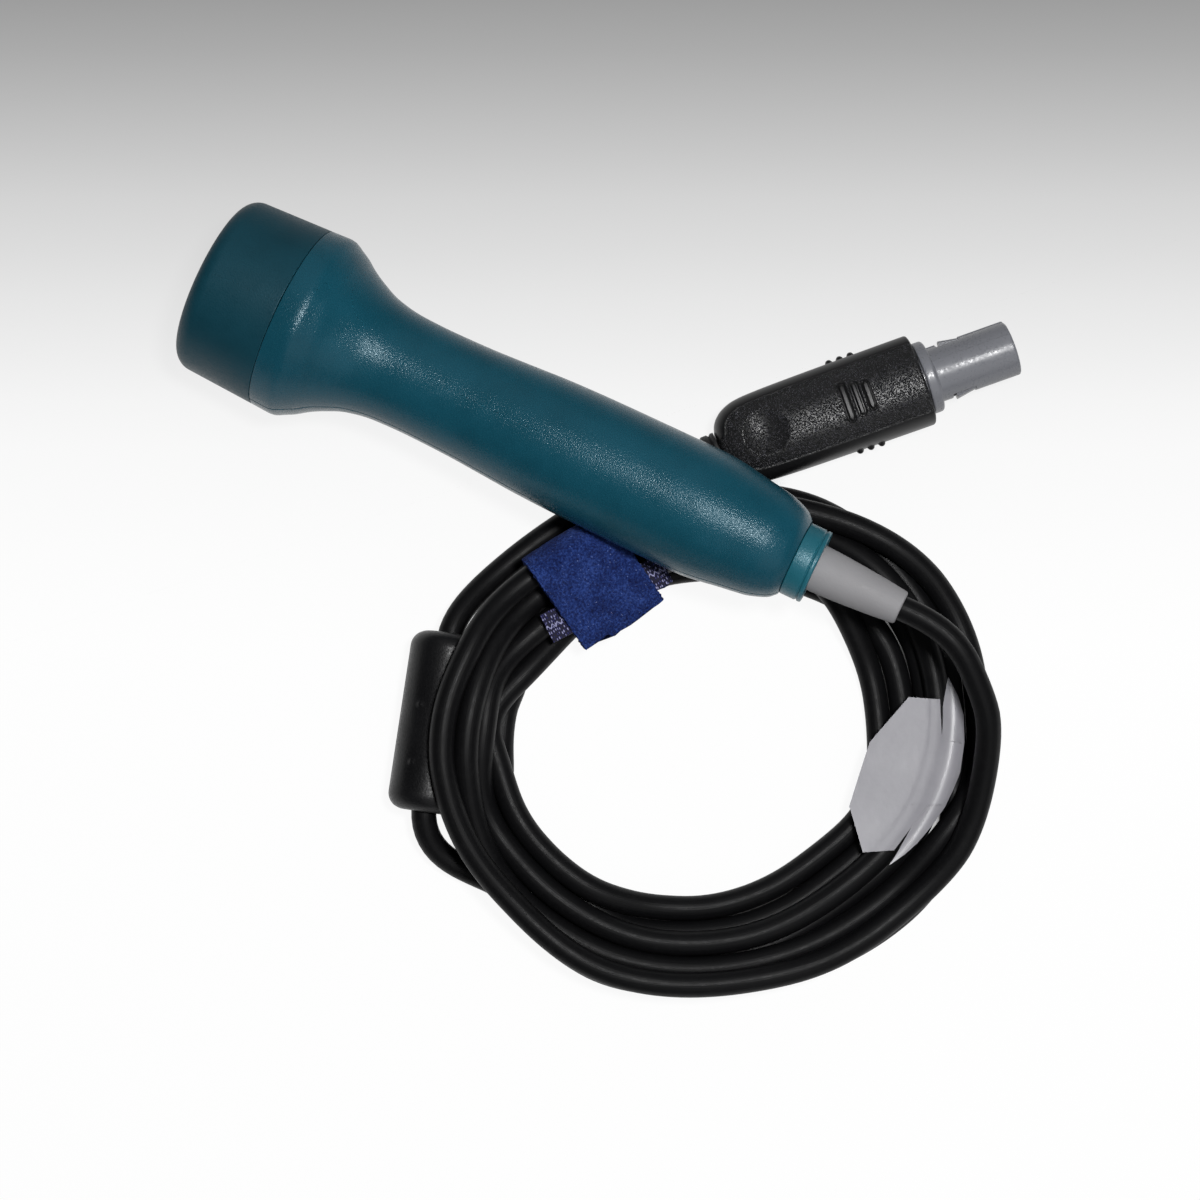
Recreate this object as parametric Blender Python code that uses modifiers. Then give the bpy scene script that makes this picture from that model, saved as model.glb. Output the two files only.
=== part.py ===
"""Hand-held fetal Doppler probe with its lead: coil, ferrite bead, cloth tie, label flag and plug.

Metres, +Z up, standing on z = 0. The probe lies along +X, its acoustic face at -X. Its pieces are
modelled along the local +X axis of an empty, station 0 on the face, and the plug's along another
empty, station 0 at the back of the grip.
"""

import math

import bmesh
import bpy
import numpy as np
from mathutils import Vector

# Fits
GAP = 0.0003
WALL = 0.0018
EPSILON = 0.002

# Probe outline, stations measured from the acoustic face
PITCH = math.radians(3.2)
ROLL = math.radians(-12.0)
FACE_FLAT_RADIUS = 0.0080
FACE_SAG = 0.00035
RIM_ROUND = 0.0033
SEAM_STATION = 0.0167
SHOULDER_STATION = 0.0205
SHOULDER_RADIUS = 0.01744
HEAD_TAPER = 0.00079
HEAD_RADIUS = SHOULDER_RADIUS - HEAD_TAPER
WAIST_STATION = 0.0455
WAIST_RADIUS = 0.01026
PALM_STATION = 0.0950
PALM_RADIUS = 0.01177
TAIL_STATION = 0.1178
TAIL_RADIUS = 0.0072
# Shares of the run from one station to the next, with the share of the change in radius done there
FLARE = ((0.05, 0.045), (0.09, 0.12), (0.16, 0.25), (0.23, 0.42), (0.30, 0.563), (0.375, 0.69),
         (0.45, 0.805), (0.53, 0.885), (0.66, 0.965), (0.82, 0.995), (1.0, 1.0))
PALM_SWELL = ((0.15, 0.13), (0.30, 0.42), (0.45, 0.72), (0.65, 0.90), (1.0, 1.0))
TAIL_TURN = ((0.22, 0.015), (0.38, 0.10), (0.54, 0.23), (0.70, 0.345), (0.78, 0.415), (0.86, 0.545),
             (0.93, 0.69), (0.975, 0.85), (1.0, 1.0))

# Head cap, spigot and seal
FACE_THICKNESS = 0.0018
CAP_CORNER = 0.0025
SPIGOT_STATION = 0.0105
SPIGOT_RADIUS = 0.0150
SPIGOT_BORE = 0.0126
GROOVE_STATION = 0.0130
GROOVE_DEPTH = 0.0011
SEAL_PLAY = 0.00025
SHOULDER_WEB = 0.0020

# Crystals and what holds them
CRYSTAL_RADIUS = 0.0115
CRYSTAL_THICKNESS = 0.0010
DIVIDER_WIDTH = 0.0010
HOLDER_RIM = 0.0009
HOLDER_DEPTH = 0.0040
HOLDER_FLANGE = 0.0012
FOAM_THICKNESS = 0.0030
LEAD_HOLE_OFFSET = 0.0050

# Tongue and groove along the handle's parting line
TONGUE_DEPTH = 0.0007
TONGUE_THICKNESS = 0.0006
TONGUE_INSET = 0.0006
TONGUE_FRONT_STATION = 0.0260
TONGUE_REAR_STATION = 0.1080

# Circuit board and its webs
BOARD_STATION = 0.0420
BOARD_LENGTH = 0.0500
BOARD_WIDTH = 0.0140
BOARD_THICKNESS = 0.0012
WEB_STATIONS = (0.0475, 0.0820)
WEB_THICKNESS = 0.0012
WEB_WINDOW = 0.0086
CHIP_STATION = 0.0640
CHIP_SIZE = (0.0100, 0.0070, 0.0016)
COIL_CAN_STATION = 0.0550
COIL_CAN_RADIUS = 0.0022
COIL_CAN_HEIGHT = 0.0032
HEADER_STATION = 0.0865
HEADER_SIZE = (0.0040, 0.0090, 0.0030)
LEAD_WIRE_RADIUS = 0.0005
CORE_WIRE_RADIUS = 0.00045
CORE_WIRES = 4

# Collar and strain relief
REAR_HOLE_RADIUS = 0.0055
COLLAR_RADIUS = 0.0069
COLLAR_LENGTH = 0.0039
COLLAR_FLANGE_RADIUS = 0.0063
COLLAR_FLANGE_WIDTH = 0.0021
COLLAR_LINE = 0.0006
RELIEF_RADIUS = 0.00435
RELIEF_MIDDLE_RADIUS = 0.0039
RELIEF_TIP_RADIUS = 0.0031
RELIEF_TIP_STATION = 0.1388
RELIEF_FLANGE_RADIUS = 0.0060
RELIEF_FLANGE_WIDTH = 0.0023

# Lead
CABLE_RADIUS = 0.0023
JACKET_END_STATION = 0.1000
TIE_STATION = 0.1045
TIE_WIDTH = 0.0030
TIE_THICKNESS = 0.0008
TIE_HEAD = 0.0042

# Coil of the lead, as one ring of the bundle's size
COIL_CENTRE = (0.0506, -0.0360)
COIL_INNER_RADIUS = 0.0310
COIL_OUTER_RADIUS = 0.0435
COIL_HEIGHT = 0.0094
COIL_EDGE = 0.0022

# Cloth tie round the coil
STRAP_ANGLE = math.radians(152.3)
STRAP_WIDTH = 0.0170
STRAP_THICKNESS = 0.0015
STRAP_PROUD = 0.0009
STRAP_TAIL = 0.0040

# Label flag on the coil
LABEL_THICKNESS = 0.0004
LABEL_OUTLINE = ((0.0787, -0.0127), (0.0842, -0.0106), (0.0874, -0.0174), (0.0912, -0.0163),
                 (0.0926, -0.0207), (0.0933, -0.0281), (0.0894, -0.0346), (0.0883, -0.0396),
                 (0.0832, -0.0427), (0.0776, -0.0365), (0.0756, -0.0235))

# Ferrite bead on the plug's lead
BEAD_CENTRE = (0.0030, -0.0544)
BEAD_YAW = math.radians(-72.5)
BEAD_LENGTH = 0.0330
BEAD_RADIUS = 0.0070
BEAD_SHOULDER = 0.0030
BEAD_WALL = 0.0014
BEAD_END_WALL = 0.0030

# Plug, stations measured from the back of its grip
PLUG_PLACE = (0.02775, 0.01325)
PLUG_YAW = math.radians(45.6)
HANDGRIP_LENGTH = 0.0392
HANDGRIP_WIDTH = 0.0172
HANDGRIP_HEIGHT = 0.0142
HANDGRIP_SQUARENESS = 2.5
# Shares of the length, width and height at each section
HANDGRIP_SECTIONS = ((0.0, 0.40, 0.42), (0.012, 0.56, 0.54), (0.035, 0.70, 0.66), (0.075, 0.83, 0.76),
                     (0.14, 0.925, 0.85), (0.26, 0.965, 0.92), (0.50, 0.985, 0.97), (0.985, 1.0, 1.0),
                     (1.0, 0.975, 0.975))
DIMPLE_STATION = 0.0087
DIMPLE_RADIUS = 0.0048
DIMPLE_DEPTH = 0.0012
RIB_STATION = 0.0223
RIB_PITCH = 0.00205
RIB_WIDTH = 0.0012
RIB_LENGTHS = (0.0070, 0.0062, 0.0053)
RIB_PROUD = 0.00035
BUMP_STATION = 0.0243
BUMP_PITCH = 0.0021
BUMP_RADIUS = 0.00065
BUMP_COUNT = 3
PLUG_BOOT_LENGTH = 0.0110
PLUG_BOOT_RADIUS = 0.0037
PLUG_BOOT_TIP_RADIUS = 0.0031
PLUG_BOOT_RIBS = 5
RIB_GROOVE = 0.0004
# Shares of the boot's pitch, with the share of the groove's depth reached there
BOOT_GROOVE = ((0.7, 0), (0.8, 1), (1.1, 1), (1.2, 0))

# Plug's nose
FLANGE_RADIUS = 0.0068
FLANGE_WIDTH = 0.0021
NOSE_RADIUS = 0.0052
NOSE_END_STATION = 0.0571
NOSE_WALL = 0.0010
NOSE_CHAMFER = 0.0004
SOCKET_TAIL_RADIUS = 0.0056
SOCKET_TAIL_LENGTH = 0.0065
KEY_OFFSET = 0.0023
KEY_DEPTH = 0.00026
LATCH_ROOT_STATION = 0.0482
LATCH_TIP_STATION = 0.0444
LATCH_WIDTH = 0.0030
LATCH_SLOT = 0.0005
LATCH_BARB = 0.00045
BARB_WIDTH = 0.0024
INSERT_LENGTH = 0.0150
INSERT_RECESS = 0.0060
PIN_COUNT = 6
PIN_RADIUS = 0.00035
PIN_CIRCLE = 0.0026
PIN_RECESS = 0.0015
PLUG_LEAD_STATION = 0.0300

# Facets round a turned piece
FINE = 36
COARSE = 20


# The scene, its collections and materials

for old in list(bpy.data.objects):
    bpy.data.objects.remove(old)

parts = bpy.data.collections.new("fetal_doppler_probe")
cutters = bpy.data.collections.new("cutters")
bpy.context.scene.collection.children.link(parts)
bpy.context.scene.collection.children.link(cutters)


def finish(colour, roughness, metallic=0.0):
    """A function that makes a new material of this finish for a named piece."""
    def make(name):
        material = bpy.data.materials.new(name)
        material.use_nodes = True
        shader = material.node_tree.nodes["Principled BSDF"]
        shader.inputs["Base Color"].default_value = (*colour, 1.0)
        shader.inputs["Roughness"].default_value = roughness
        shader.inputs["Metallic"].default_value = metallic
        return material
    return make


TEAL_HEAD = finish((0.011, 0.055, 0.080), 0.42)
TEAL_HANDLE = finish((0.013, 0.085, 0.125), 0.40)
TEAL_COLLAR = finish((0.016, 0.120, 0.155), 0.40)
GREY_SOFT = finish((0.300, 0.300, 0.310), 0.60)
GREY_NOSE = finish((0.190, 0.200, 0.225), 0.38)
BLACK_PLASTIC = finish((0.012, 0.012, 0.014), 0.45)
BLACK_JACKET = finish((0.010, 0.010, 0.011), 0.38)
BLUE_CLOTH = finish((0.020, 0.045, 0.260), 0.95)
WHITE_FILM = finish((0.560, 0.560, 0.600), 0.35)
BLACK_RUBBER = finish((0.015, 0.015, 0.015), 0.75)
CERAMIC = finish((0.600, 0.520, 0.400), 0.50)
WHITE_PLASTIC = finish((0.700, 0.700, 0.660), 0.50)
FOAM = finish((0.080, 0.080, 0.085), 0.95)
BOARD_GREEN = finish((0.010, 0.120, 0.040), 0.45)
FERRITE = finish((0.040, 0.040, 0.045), 0.60)
GOLD = finish((0.800, 0.550, 0.200), 0.30, 1.0)
WIRE_RED = finish((0.500, 0.030, 0.030), 0.50)


def add(name, data, home, parent, look):
    """Link a new object of this mesh or curve, under a parent and with its own material."""
    thing = bpy.data.objects.new(name, data)
    home.objects.link(thing)
    thing.parent = parent
    if look:
        data.materials.append(look(name))
    if home is cutters:
        thing.hide_render = True
        thing.display_type = "WIRE"
    return thing


def boolean(thing, tool, operation):
    """A live exact Boolean of one object with another."""
    live = thing.modifiers.new(tool.name, "BOOLEAN")
    live.operation = operation
    live.object = tool
    live.solver = "EXACT"


def cut(thing, tool):
    boolean(thing, tool, "DIFFERENCE")


def join(thing, tool):
    boolean(thing, tool, "UNION")


def trim(thing, tool):
    boolean(thing, tool, "INTERSECT")


def turned(name, profile, steps=FINE, home=parts, parent=None, look=None):
    """Turn a closed profile of (station, radius) points round the local +X axis."""
    points = [(radius, station) for station, radius in profile]
    ahead = points[1:] + points[:1]
    turn = sum(a[0] * b[1] - b[0] * a[1] for a, b in zip(points, ahead))
    if turn > 0:
        points.reverse()
    open_at_axis = min(radius for radius, _ in points) < 1e-7
    if open_at_axis:
        on_axis = [radius < 1e-7 for radius, _ in points]
        start = next(i for i in range(len(points)) if on_axis[i] and on_axis[i - 1])
        points = points[start:] + points[:start]
    mesh = bpy.data.meshes.new(name)
    edges = [(i, i + 1) for i in range(len(points) - 1)]
    if not open_at_axis:
        edges.append((len(points) - 1, 0))
    mesh.from_pydata([(radius, 0.0, station) for radius, station in points], edges, [])
    thing = add(name, mesh, home, parent, look)
    thing.rotation_euler = (0.0, math.pi / 2, 0.0)
    screw = thing.modifiers.new("turn", "SCREW")
    screw.axis = "Z"
    screw.angle = 2 * math.pi
    screw.steps = steps
    screw.render_steps = steps
    screw.use_merge_vertices = True
    screw.merge_threshold = 0.000001
    screw.use_smooth_shade = True
    return thing


def rod(name, start, end, radius, steps=COARSE, home=parts, parent=None, look=None):
    """A plain cylinder along the local +X axis between two stations."""
    profile = [(start, 0.0), (start, radius), (end, radius), (end, 0.0)]
    return turned(name, profile, steps, home, parent, look)


def block(name, low, high, home=parts, parent=None, look=None):
    """A box between its lowest and highest corners."""
    mesh = bpy.data.meshes.new(name)
    shape = bmesh.new()
    bmesh.ops.create_cube(shape, size=1.0)
    size = [b - a for a, b in zip(low, high)]
    middle = [(a + b) / 2 for a, b in zip(low, high)]
    bmesh.ops.scale(shape, vec=size, verts=shape.verts)
    bmesh.ops.translate(shape, vec=middle, verts=shape.verts)
    shape.to_mesh(mesh)
    shape.free()
    return add(name, mesh, home, parent, look)


def tube(name, points, radius, sides, home=parts, parent=None, look=None):
    """A round tube with closed ends along a list of points."""
    curve = bpy.data.curves.new(name, "CURVE")
    curve.dimensions = "3D"
    curve.bevel_depth = radius
    curve.bevel_resolution = sides // 2 - 2
    curve.use_fill_caps = True
    curve.resolution_u = 1
    curve.render_resolution_u = 0
    spline = curve.splines.new("POLY")
    spline.points.add(len(points) - 1)
    for point, place in zip(spline.points, points):
        point.co = (*place, 1.0)
    return add(name, curve, home, parent, look)


def plate(name, outlines, thickness, home=parts, parent=None, look=None):
    """A flat plate, its outlines in the local XY plane, the first one outside and the rest holes."""
    curve = bpy.data.curves.new(name, "CURVE")
    curve.dimensions = "2D"
    curve.fill_mode = "BOTH"
    curve.extrude = thickness / 2
    curve.resolution_u = 1
    curve.render_resolution_u = 0
    for outline in outlines:
        spline = curve.splines.new("POLY")
        spline.points.add(len(outline) - 1)
        spline.use_cyclic_u = True
        for point, place in zip(spline.points, outline):
            point.co = (place[0], place[1], 0.0, 1.0)
    return add(name, curve, home, parent, look)


def cutter_from(name, flat):
    """A cutter of a plate's own shape and place, as a welded mesh that a Boolean can take."""
    seen = flat.evaluated_get(bpy.context.evaluated_depsgraph_get())
    mesh = bpy.data.meshes.new_from_object(seen)
    shape = bmesh.new()
    shape.from_mesh(mesh)
    bmesh.ops.remove_doubles(shape, verts=shape.verts, dist=0.000001)
    bmesh.ops.recalc_face_normals(shape, faces=shape.faces)
    shape.to_mesh(mesh)
    shape.free()
    tool = add(name, mesh, cutters, flat.parent, None)
    tool.rotation_euler = flat.rotation_euler
    tool.location = flat.location
    bpy.data.objects.remove(flat)
    return tool


def ball(name, radius, segments, place, parent):
    """A cutter in the shape of a ball, with three rings to every four segments."""
    mesh = bpy.data.meshes.new(name)
    shape = bmesh.new()
    bmesh.ops.create_uvsphere(shape, u_segments=segments, v_segments=3 * segments // 4, radius=radius)
    shape.to_mesh(mesh)
    shape.free()
    thing = add(name, mesh, cutters, parent, None)
    thing.location = place
    return thing


def loft(name, sections, home=parts, parent=None, look=None):
    """A closed skin over rings of points, one ring for each section."""
    count, around = sections.shape[:2]
    mesh = bpy.data.meshes.new(name)
    faces = [list(range(around))[::-1], list(range((count - 1) * around, count * around))]
    for i in range(count - 1):
        for j in range(around):
            k = (j + 1) % around
            faces.append([i * around + j, i * around + k, (i + 1) * around + k, (i + 1) * around + j])
    mesh.from_pydata(sections.reshape(-1, 3).tolist(), [], faces)
    mesh.shade_smooth()
    mesh.set_sharp_from_angle(angle=math.radians(40))
    return add(name, mesh, home, parent, look)


def smooth_route(points, spacing):
    """A route's own points, with others at about this spacing on a Catmull-Rom curve through them."""
    route = np.array(points, dtype=float)
    slopes = np.gradient(route, axis=0)
    steps = np.linalg.norm(np.diff(route, axis=0), axis=1)
    slopes[1:-1] /= ((steps[1:] + steps[:-1]) / 2)[:, None]
    slopes[0] /= steps[0]
    slopes[-1] /= steps[-1]
    runs = []
    for i, step in enumerate(steps):
        t = np.linspace(0.0, 1.0, max(1, round(step / spacing)), endpoint=False)[:, None]
        start = (2 * t**3 - 3 * t**2 + 1) * route[i] + (t**3 - 2 * t**2 + t) * slopes[i] * step
        end = (3 * t**2 - 2 * t**3) * route[i + 1] + (t**3 - t**2) * slopes[i + 1] * step
        runs.append(start + end)
    return np.vstack([*runs, route[-1:]])


def world_points(thing):
    """Every corner of an object as it is evaluated, in world space."""
    seen = thing.evaluated_get(bpy.context.evaluated_depsgraph_get())
    mesh = seen.to_mesh()
    points = np.array([seen.matrix_world @ corner.co for corner in mesh.vertices])
    seen.to_mesh_clear()
    return points


# The probe's outline

def between(start, start_radius, end, end_radius, shares):
    """Outline points from one station to the next, placed by their shares of the run."""
    return [(start + along * (end - start), start_radius + done * (end_radius - start_radius))
            for along, done in shares]


rim_station = FACE_SAG + RIM_ROUND
outline = [(rim_station, HEAD_RADIUS), (SHOULDER_STATION, SHOULDER_RADIUS)]
outline += between(SHOULDER_STATION, SHOULDER_RADIUS, WAIST_STATION, WAIST_RADIUS, FLARE)
outline += between(WAIST_STATION, WAIST_RADIUS, PALM_STATION, PALM_RADIUS, PALM_SWELL)
outline += between(PALM_STATION, PALM_RADIUS, TAIL_STATION, TAIL_RADIUS, TAIL_TURN)
outline_stations, outline_radii = np.array(outline).T


def outer_radius(station):
    return float(np.interp(station, outline_stations, outline_radii))


def skin_radius(station, depth):
    """Radius of the surface that lies this depth under the outline, at a station."""
    near = np.linspace(station - depth, min(station + depth, TAIL_STATION), 41)
    reach = np.sqrt(np.maximum(depth**2 - (near - station) ** 2, 0.0))
    return float((np.interp(near, outline_stations, outline_radii) - reach).min())


probe_axis = bpy.data.objects.new("probe_axis", None)
parts.objects.link(probe_axis)
probe_axis.rotation_euler = (ROLL, -PITCH, 0.0)

# Head cap: one moulded cup with the acoustic face as its floor

cap_bore = SPIGOT_RADIUS + GAP
cap_end = SEAM_STATION - GAP / 2
rim_turn = [math.radians(90 * step / 5) for step in range(6)]
rim_centre = HEAD_RADIUS - RIM_ROUND
cap_profile = [(0.0, 0.0), (0.0, FACE_FLAT_RADIUS)]
cap_profile += [(rim_station - RIM_ROUND * math.cos(turn), rim_centre + RIM_ROUND * math.sin(turn))
                for turn in rim_turn]
cap_profile += [(cap_end - GAP, outer_radius(cap_end)), (cap_end, outer_radius(cap_end) - GAP),
                (cap_end, cap_bore), (FACE_THICKNESS + CAP_CORNER, cap_bore),
                (FACE_THICKNESS, cap_bore - CAP_CORNER), (FACE_THICKNESS, 0.0)]
turned("head_cap", cap_profile, parent=probe_axis, look=TEAL_HEAD)

# Handle: one turned shell with a spigot for the cap, split into two halves along the parting line

shell_start = SEAM_STATION + GAP / 2
web_rear = shell_start + SHOULDER_WEB
tail_inside = TAIL_STATION - WALL
seal_section = (GROOVE_DEPTH + GAP) / 2 - SEAL_PLAY
groove_half = seal_section + GAP
groove_radius = SPIGOT_RADIUS - GROOVE_DEPTH
inside_stations = [s for s in outline_stations if web_rear + WALL < s < tail_inside - WALL / 2]
inside_stations = [web_rear, *inside_stations[::2], tail_inside]
shell_profile = [(shell_start, outer_radius(shell_start) - GAP),
                 (shell_start + GAP, outer_radius(shell_start))]
shell_profile += [point for point in outline if point[0] > shell_start + GAP]
shell_profile += [(TAIL_STATION, REAR_HOLE_RADIUS), (tail_inside, REAR_HOLE_RADIUS)]
shell_profile += [(s, skin_radius(s, WALL)) for s in reversed(inside_stations)]
groove_start = GROOVE_STATION - groove_half
groove_end = GROOVE_STATION + groove_half
shell_profile += [(web_rear, SPIGOT_BORE), (SPIGOT_STATION, SPIGOT_BORE), (SPIGOT_STATION, SPIGOT_RADIUS),
                  (groove_start, SPIGOT_RADIUS), (groove_start, groove_radius),
                  (groove_end, groove_radius), (groove_end, SPIGOT_RADIUS), (shell_start, SPIGOT_RADIUS)]

reach = 2 * SHOULDER_RADIUS
upper_half = block("upper_half", (-EPSILON, -reach, GAP / 2), (TAIL_STATION + EPSILON, reach, reach),
                   cutters, probe_axis)
lower_half = block("lower_half", (-EPSILON, -reach, -reach), (TAIL_STATION + EPSILON, reach, -GAP / 2),
                   cutters, probe_axis)
upper_shell = turned("upper_shell", shell_profile, parent=probe_axis, look=TEAL_HANDLE)
lower_shell = turned("lower_shell", shell_profile, parent=probe_axis, look=TEAL_HANDLE)
trim(upper_shell, upper_half)
trim(lower_shell, lower_half)


def seam_skin(name, inset, thickness, low, high, end_play):
    """A strip inside the wall along both sides of the parting line, between two heights."""
    stations = np.linspace(TONGUE_FRONT_STATION - end_play, TONGUE_REAR_STATION + end_play, 12)
    profile = [(s, skin_radius(s, inset)) for s in stations]
    profile += [(s, skin_radius(s, inset + thickness)) for s in reversed(stations)]
    strip = turned(name, profile, FINE, cutters, probe_axis)
    slab = block(name + "_slab", (0.0, -reach, low), (TAIL_STATION, reach, high), cutters, probe_axis)
    trim(strip, slab)
    return strip


board_rest = BOARD_THICKNESS / 2 + GAP
for number, station in enumerate(WEB_STATIONS, 1):
    web_radius = skin_radius(station, WALL / 2)
    half = WEB_THICKNESS / 2
    for side, shell, low, high in (("upper", upper_shell, board_rest, reach),
                                   ("lower", lower_shell, -reach, -board_rest)):
        name = f"{side}_web_{number}"
        web = rod(name, station - half, station + half, web_radius, FINE, cutters, probe_axis)
        keep = block(name + "_keep", (station - reach, -reach, low), (station + reach, reach, high),
                     cutters, probe_axis)
        trim(web, keep)
        if side == "upper":
            window = block(name + "_window", (station - reach, -WEB_WINDOW / 2, 0.0),
                           (station + reach, WEB_WINDOW / 2, skin_radius(station, WALL) / 2),
                           cutters, probe_axis)
            cut(web, window)
        join(shell, web)

tongue = seam_skin("tongue", TONGUE_INSET, TONGUE_THICKNESS, -TONGUE_DEPTH, 2 * GAP, 0.0)
groove = seam_skin("groove", TONGUE_INSET - GAP, TONGUE_THICKNESS + 2 * GAP, -TONGUE_DEPTH - GAP,
                   2 * GAP, GAP)
join(upper_shell, tongue)
cut(lower_shell, groove)

# Face seal: an O-ring in the spigot's groove

seal_radius = (cap_bore + groove_radius) / 2
seal_turn = [2 * math.pi * step / 8 for step in range(8)]
seal_profile = [(GROOVE_STATION + seal_section * math.cos(turn),
                 seal_radius + seal_section * math.sin(turn)) for turn in seal_turn]
turned("face_seal", seal_profile, FINE, parent=probe_axis, look=BLACK_RUBBER)

# Crystals: two half discs behind the face, in a holder with a bar between them

crystal_front = FACE_THICKNESS + GAP
crystal_back = crystal_front + CRYSTAL_THICKNESS
half_bar = DIVIDER_WIDTH / 2
for name, low, high in (("transmit_crystal", half_bar + GAP, reach),
                        ("receive_crystal", -reach, -half_bar - GAP)):
    crystal = rod(name, crystal_front, crystal_back, CRYSTAL_RADIUS, parent=probe_axis, look=CERAMIC)
    keep = block(name + "_keep", (0.0, -reach, low), (SEAM_STATION, reach, high), cutters, probe_axis)
    trim(crystal, keep)

holder_bore = CRYSTAL_RADIUS + GAP
holder_back = crystal_front + HOLDER_DEPTH
flange_radius = cap_bore - GAP
holder_profile = [(crystal_front, holder_bore), (crystal_front, holder_bore + HOLDER_RIM),
                  (holder_back - HOLDER_FLANGE, holder_bore + HOLDER_RIM),
                  (holder_back - HOLDER_FLANGE, flange_radius), (holder_back, flange_radius),
                  (holder_back, holder_bore)]
holder = turned("crystal_holder", holder_profile, 32, parent=probe_axis, look=WHITE_PLASTIC)
bar = block("holder_bar", (crystal_front, -holder_bore - HOLDER_RIM / 2, -half_bar),
            (holder_back - HOLDER_FLANGE / 2, holder_bore + HOLDER_RIM / 2, half_bar), cutters, probe_axis)
join(holder, bar)

foam_front = holder_back + GAP
foam_back = foam_front + FOAM_THICKNESS
foam = rod("backing_foam", foam_front, foam_back, flange_radius, 32, parent=probe_axis, look=FOAM)
for name, side in (("transmit_hole", 1), ("receive_hole", -1)):
    hole = rod(name, foam_front - EPSILON, foam_back + EPSILON, LEAD_WIRE_RADIUS + GAP, 12,
               cutters, probe_axis)
    hole.location.z = side * LEAD_HOLE_OFFSET
    cut(foam, hole)

# Circuit board with its parts, resting between the webs

board_top = BOARD_THICKNESS / 2
board_end = BOARD_STATION + BOARD_LENGTH
block("circuit_board", (BOARD_STATION, -BOARD_WIDTH / 2, -board_top),
      (board_end, BOARD_WIDTH / 2, board_top), parent=probe_axis, look=BOARD_GREEN)
part_base = board_top + GAP


def on_board(name, station, size, look):
    """A box on the board's upper side, centred across it."""
    block(name, (station, -size[1] / 2, part_base), (station + size[0], size[1] / 2, part_base + size[2]),
          parent=probe_axis, look=look)


on_board("amplifier_chip", CHIP_STATION, CHIP_SIZE, BLACK_PLASTIC)
on_board("wire_header", HEADER_STATION, HEADER_SIZE, WHITE_PLASTIC)
coil_offset = BOARD_WIDTH / 4
for name, side in (("transmit_coil", -1), ("receive_coil", 1)):
    can = rod(name, 0.0, COIL_CAN_HEIGHT, COIL_CAN_RADIUS, 16, parent=probe_axis, look=FERRITE)
    can.rotation_euler = (0.0, 0.0, 0.0)
    can.location = (COIL_CAN_STATION, side * coil_offset, part_base)

# Leads from the crystals to the board, and the lead's cores from its jacket to the header

lead_rest = part_base + LEAD_WIRE_RADIUS
for name, side in (("transmit_lead", 1), ("receive_lead", -1)):
    height = side * LEAD_HOLE_OFFSET
    lead_route = [(crystal_back + GAP, 0.0, height), (foam_front, 0.0, height),
                  (foam_front + 2 * FOAM_THICKNESS, 0.0, height),
                  (WAIST_STATION / 2, -side * coil_offset / 2, height * 0.8),
                  (BOARD_STATION - 3 * LEAD_HOLE_OFFSET / 5, -side * coil_offset, lead_rest),
                  (BOARD_STATION + 2 * BOARD_THICKNESS, -side * coil_offset, lead_rest)]
    tube(name, smooth_route(lead_route, 0.004), LEAD_WIRE_RADIUS, 8, parent=probe_axis, look=BLACK_JACKET)

header_back = HEADER_STATION + HEADER_SIZE[0] + GAP
header_height = part_base + HEADER_SIZE[2] / 2
core_circle = CABLE_RADIUS - 2 * CORE_WIRE_RADIUS
for number in range(CORE_WIRES):
    turn = math.pi * (number + 0.5) / CORE_WIRES
    across = core_circle * math.cos(turn)
    spread = HEADER_SIZE[1] * (0.5 - (number + 0.5) / CORE_WIRES)
    height = core_circle * math.sin(turn) * 0.6
    core_route = [(header_back, spread, header_height),
                  (header_back + 4 * CORE_WIRE_RADIUS, spread, header_height),
                  (JACKET_END_STATION - GAP - 4 * CORE_WIRE_RADIUS, across, height),
                  (JACKET_END_STATION - GAP, across, height)]
    tube(f"core_wire_{number + 1}", smooth_route(core_route, 0.0025), CORE_WIRE_RADIUS, 8,
         parent=probe_axis, look=WIRE_RED)

# Collar: captured by its flange between the two halves

cable_bore = CABLE_RADIUS + GAP
collar_front = TAIL_STATION + GAP
collar_end = collar_front + COLLAR_LENGTH
collar_bore = RELIEF_RADIUS + GAP
flange_rear = tail_inside - GAP
flange_front = flange_rear - COLLAR_FLANGE_WIDTH
collar_tube = REAR_HOLE_RADIUS - GAP
collar_profile = [(collar_front, COLLAR_RADIUS), (collar_end - 2 * COLLAR_LINE, COLLAR_RADIUS),
                  (collar_end - 1.5 * COLLAR_LINE, COLLAR_RADIUS - GAP),
                  (collar_end - COLLAR_LINE, COLLAR_RADIUS), (collar_end - GAP, COLLAR_RADIUS),
                  (collar_end, COLLAR_RADIUS - GAP), (collar_end, collar_bore),
                  (flange_front, collar_bore), (flange_front, COLLAR_FLANGE_RADIUS),
                  (flange_rear, COLLAR_FLANGE_RADIUS), (flange_rear, collar_tube),
                  (collar_front, collar_tube)]
turned("end_collar", collar_profile, 32, parent=probe_axis, look=TEAL_COLLAR)

# Strain relief: a soft tapered sleeve, held by its flange behind the collar's

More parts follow.
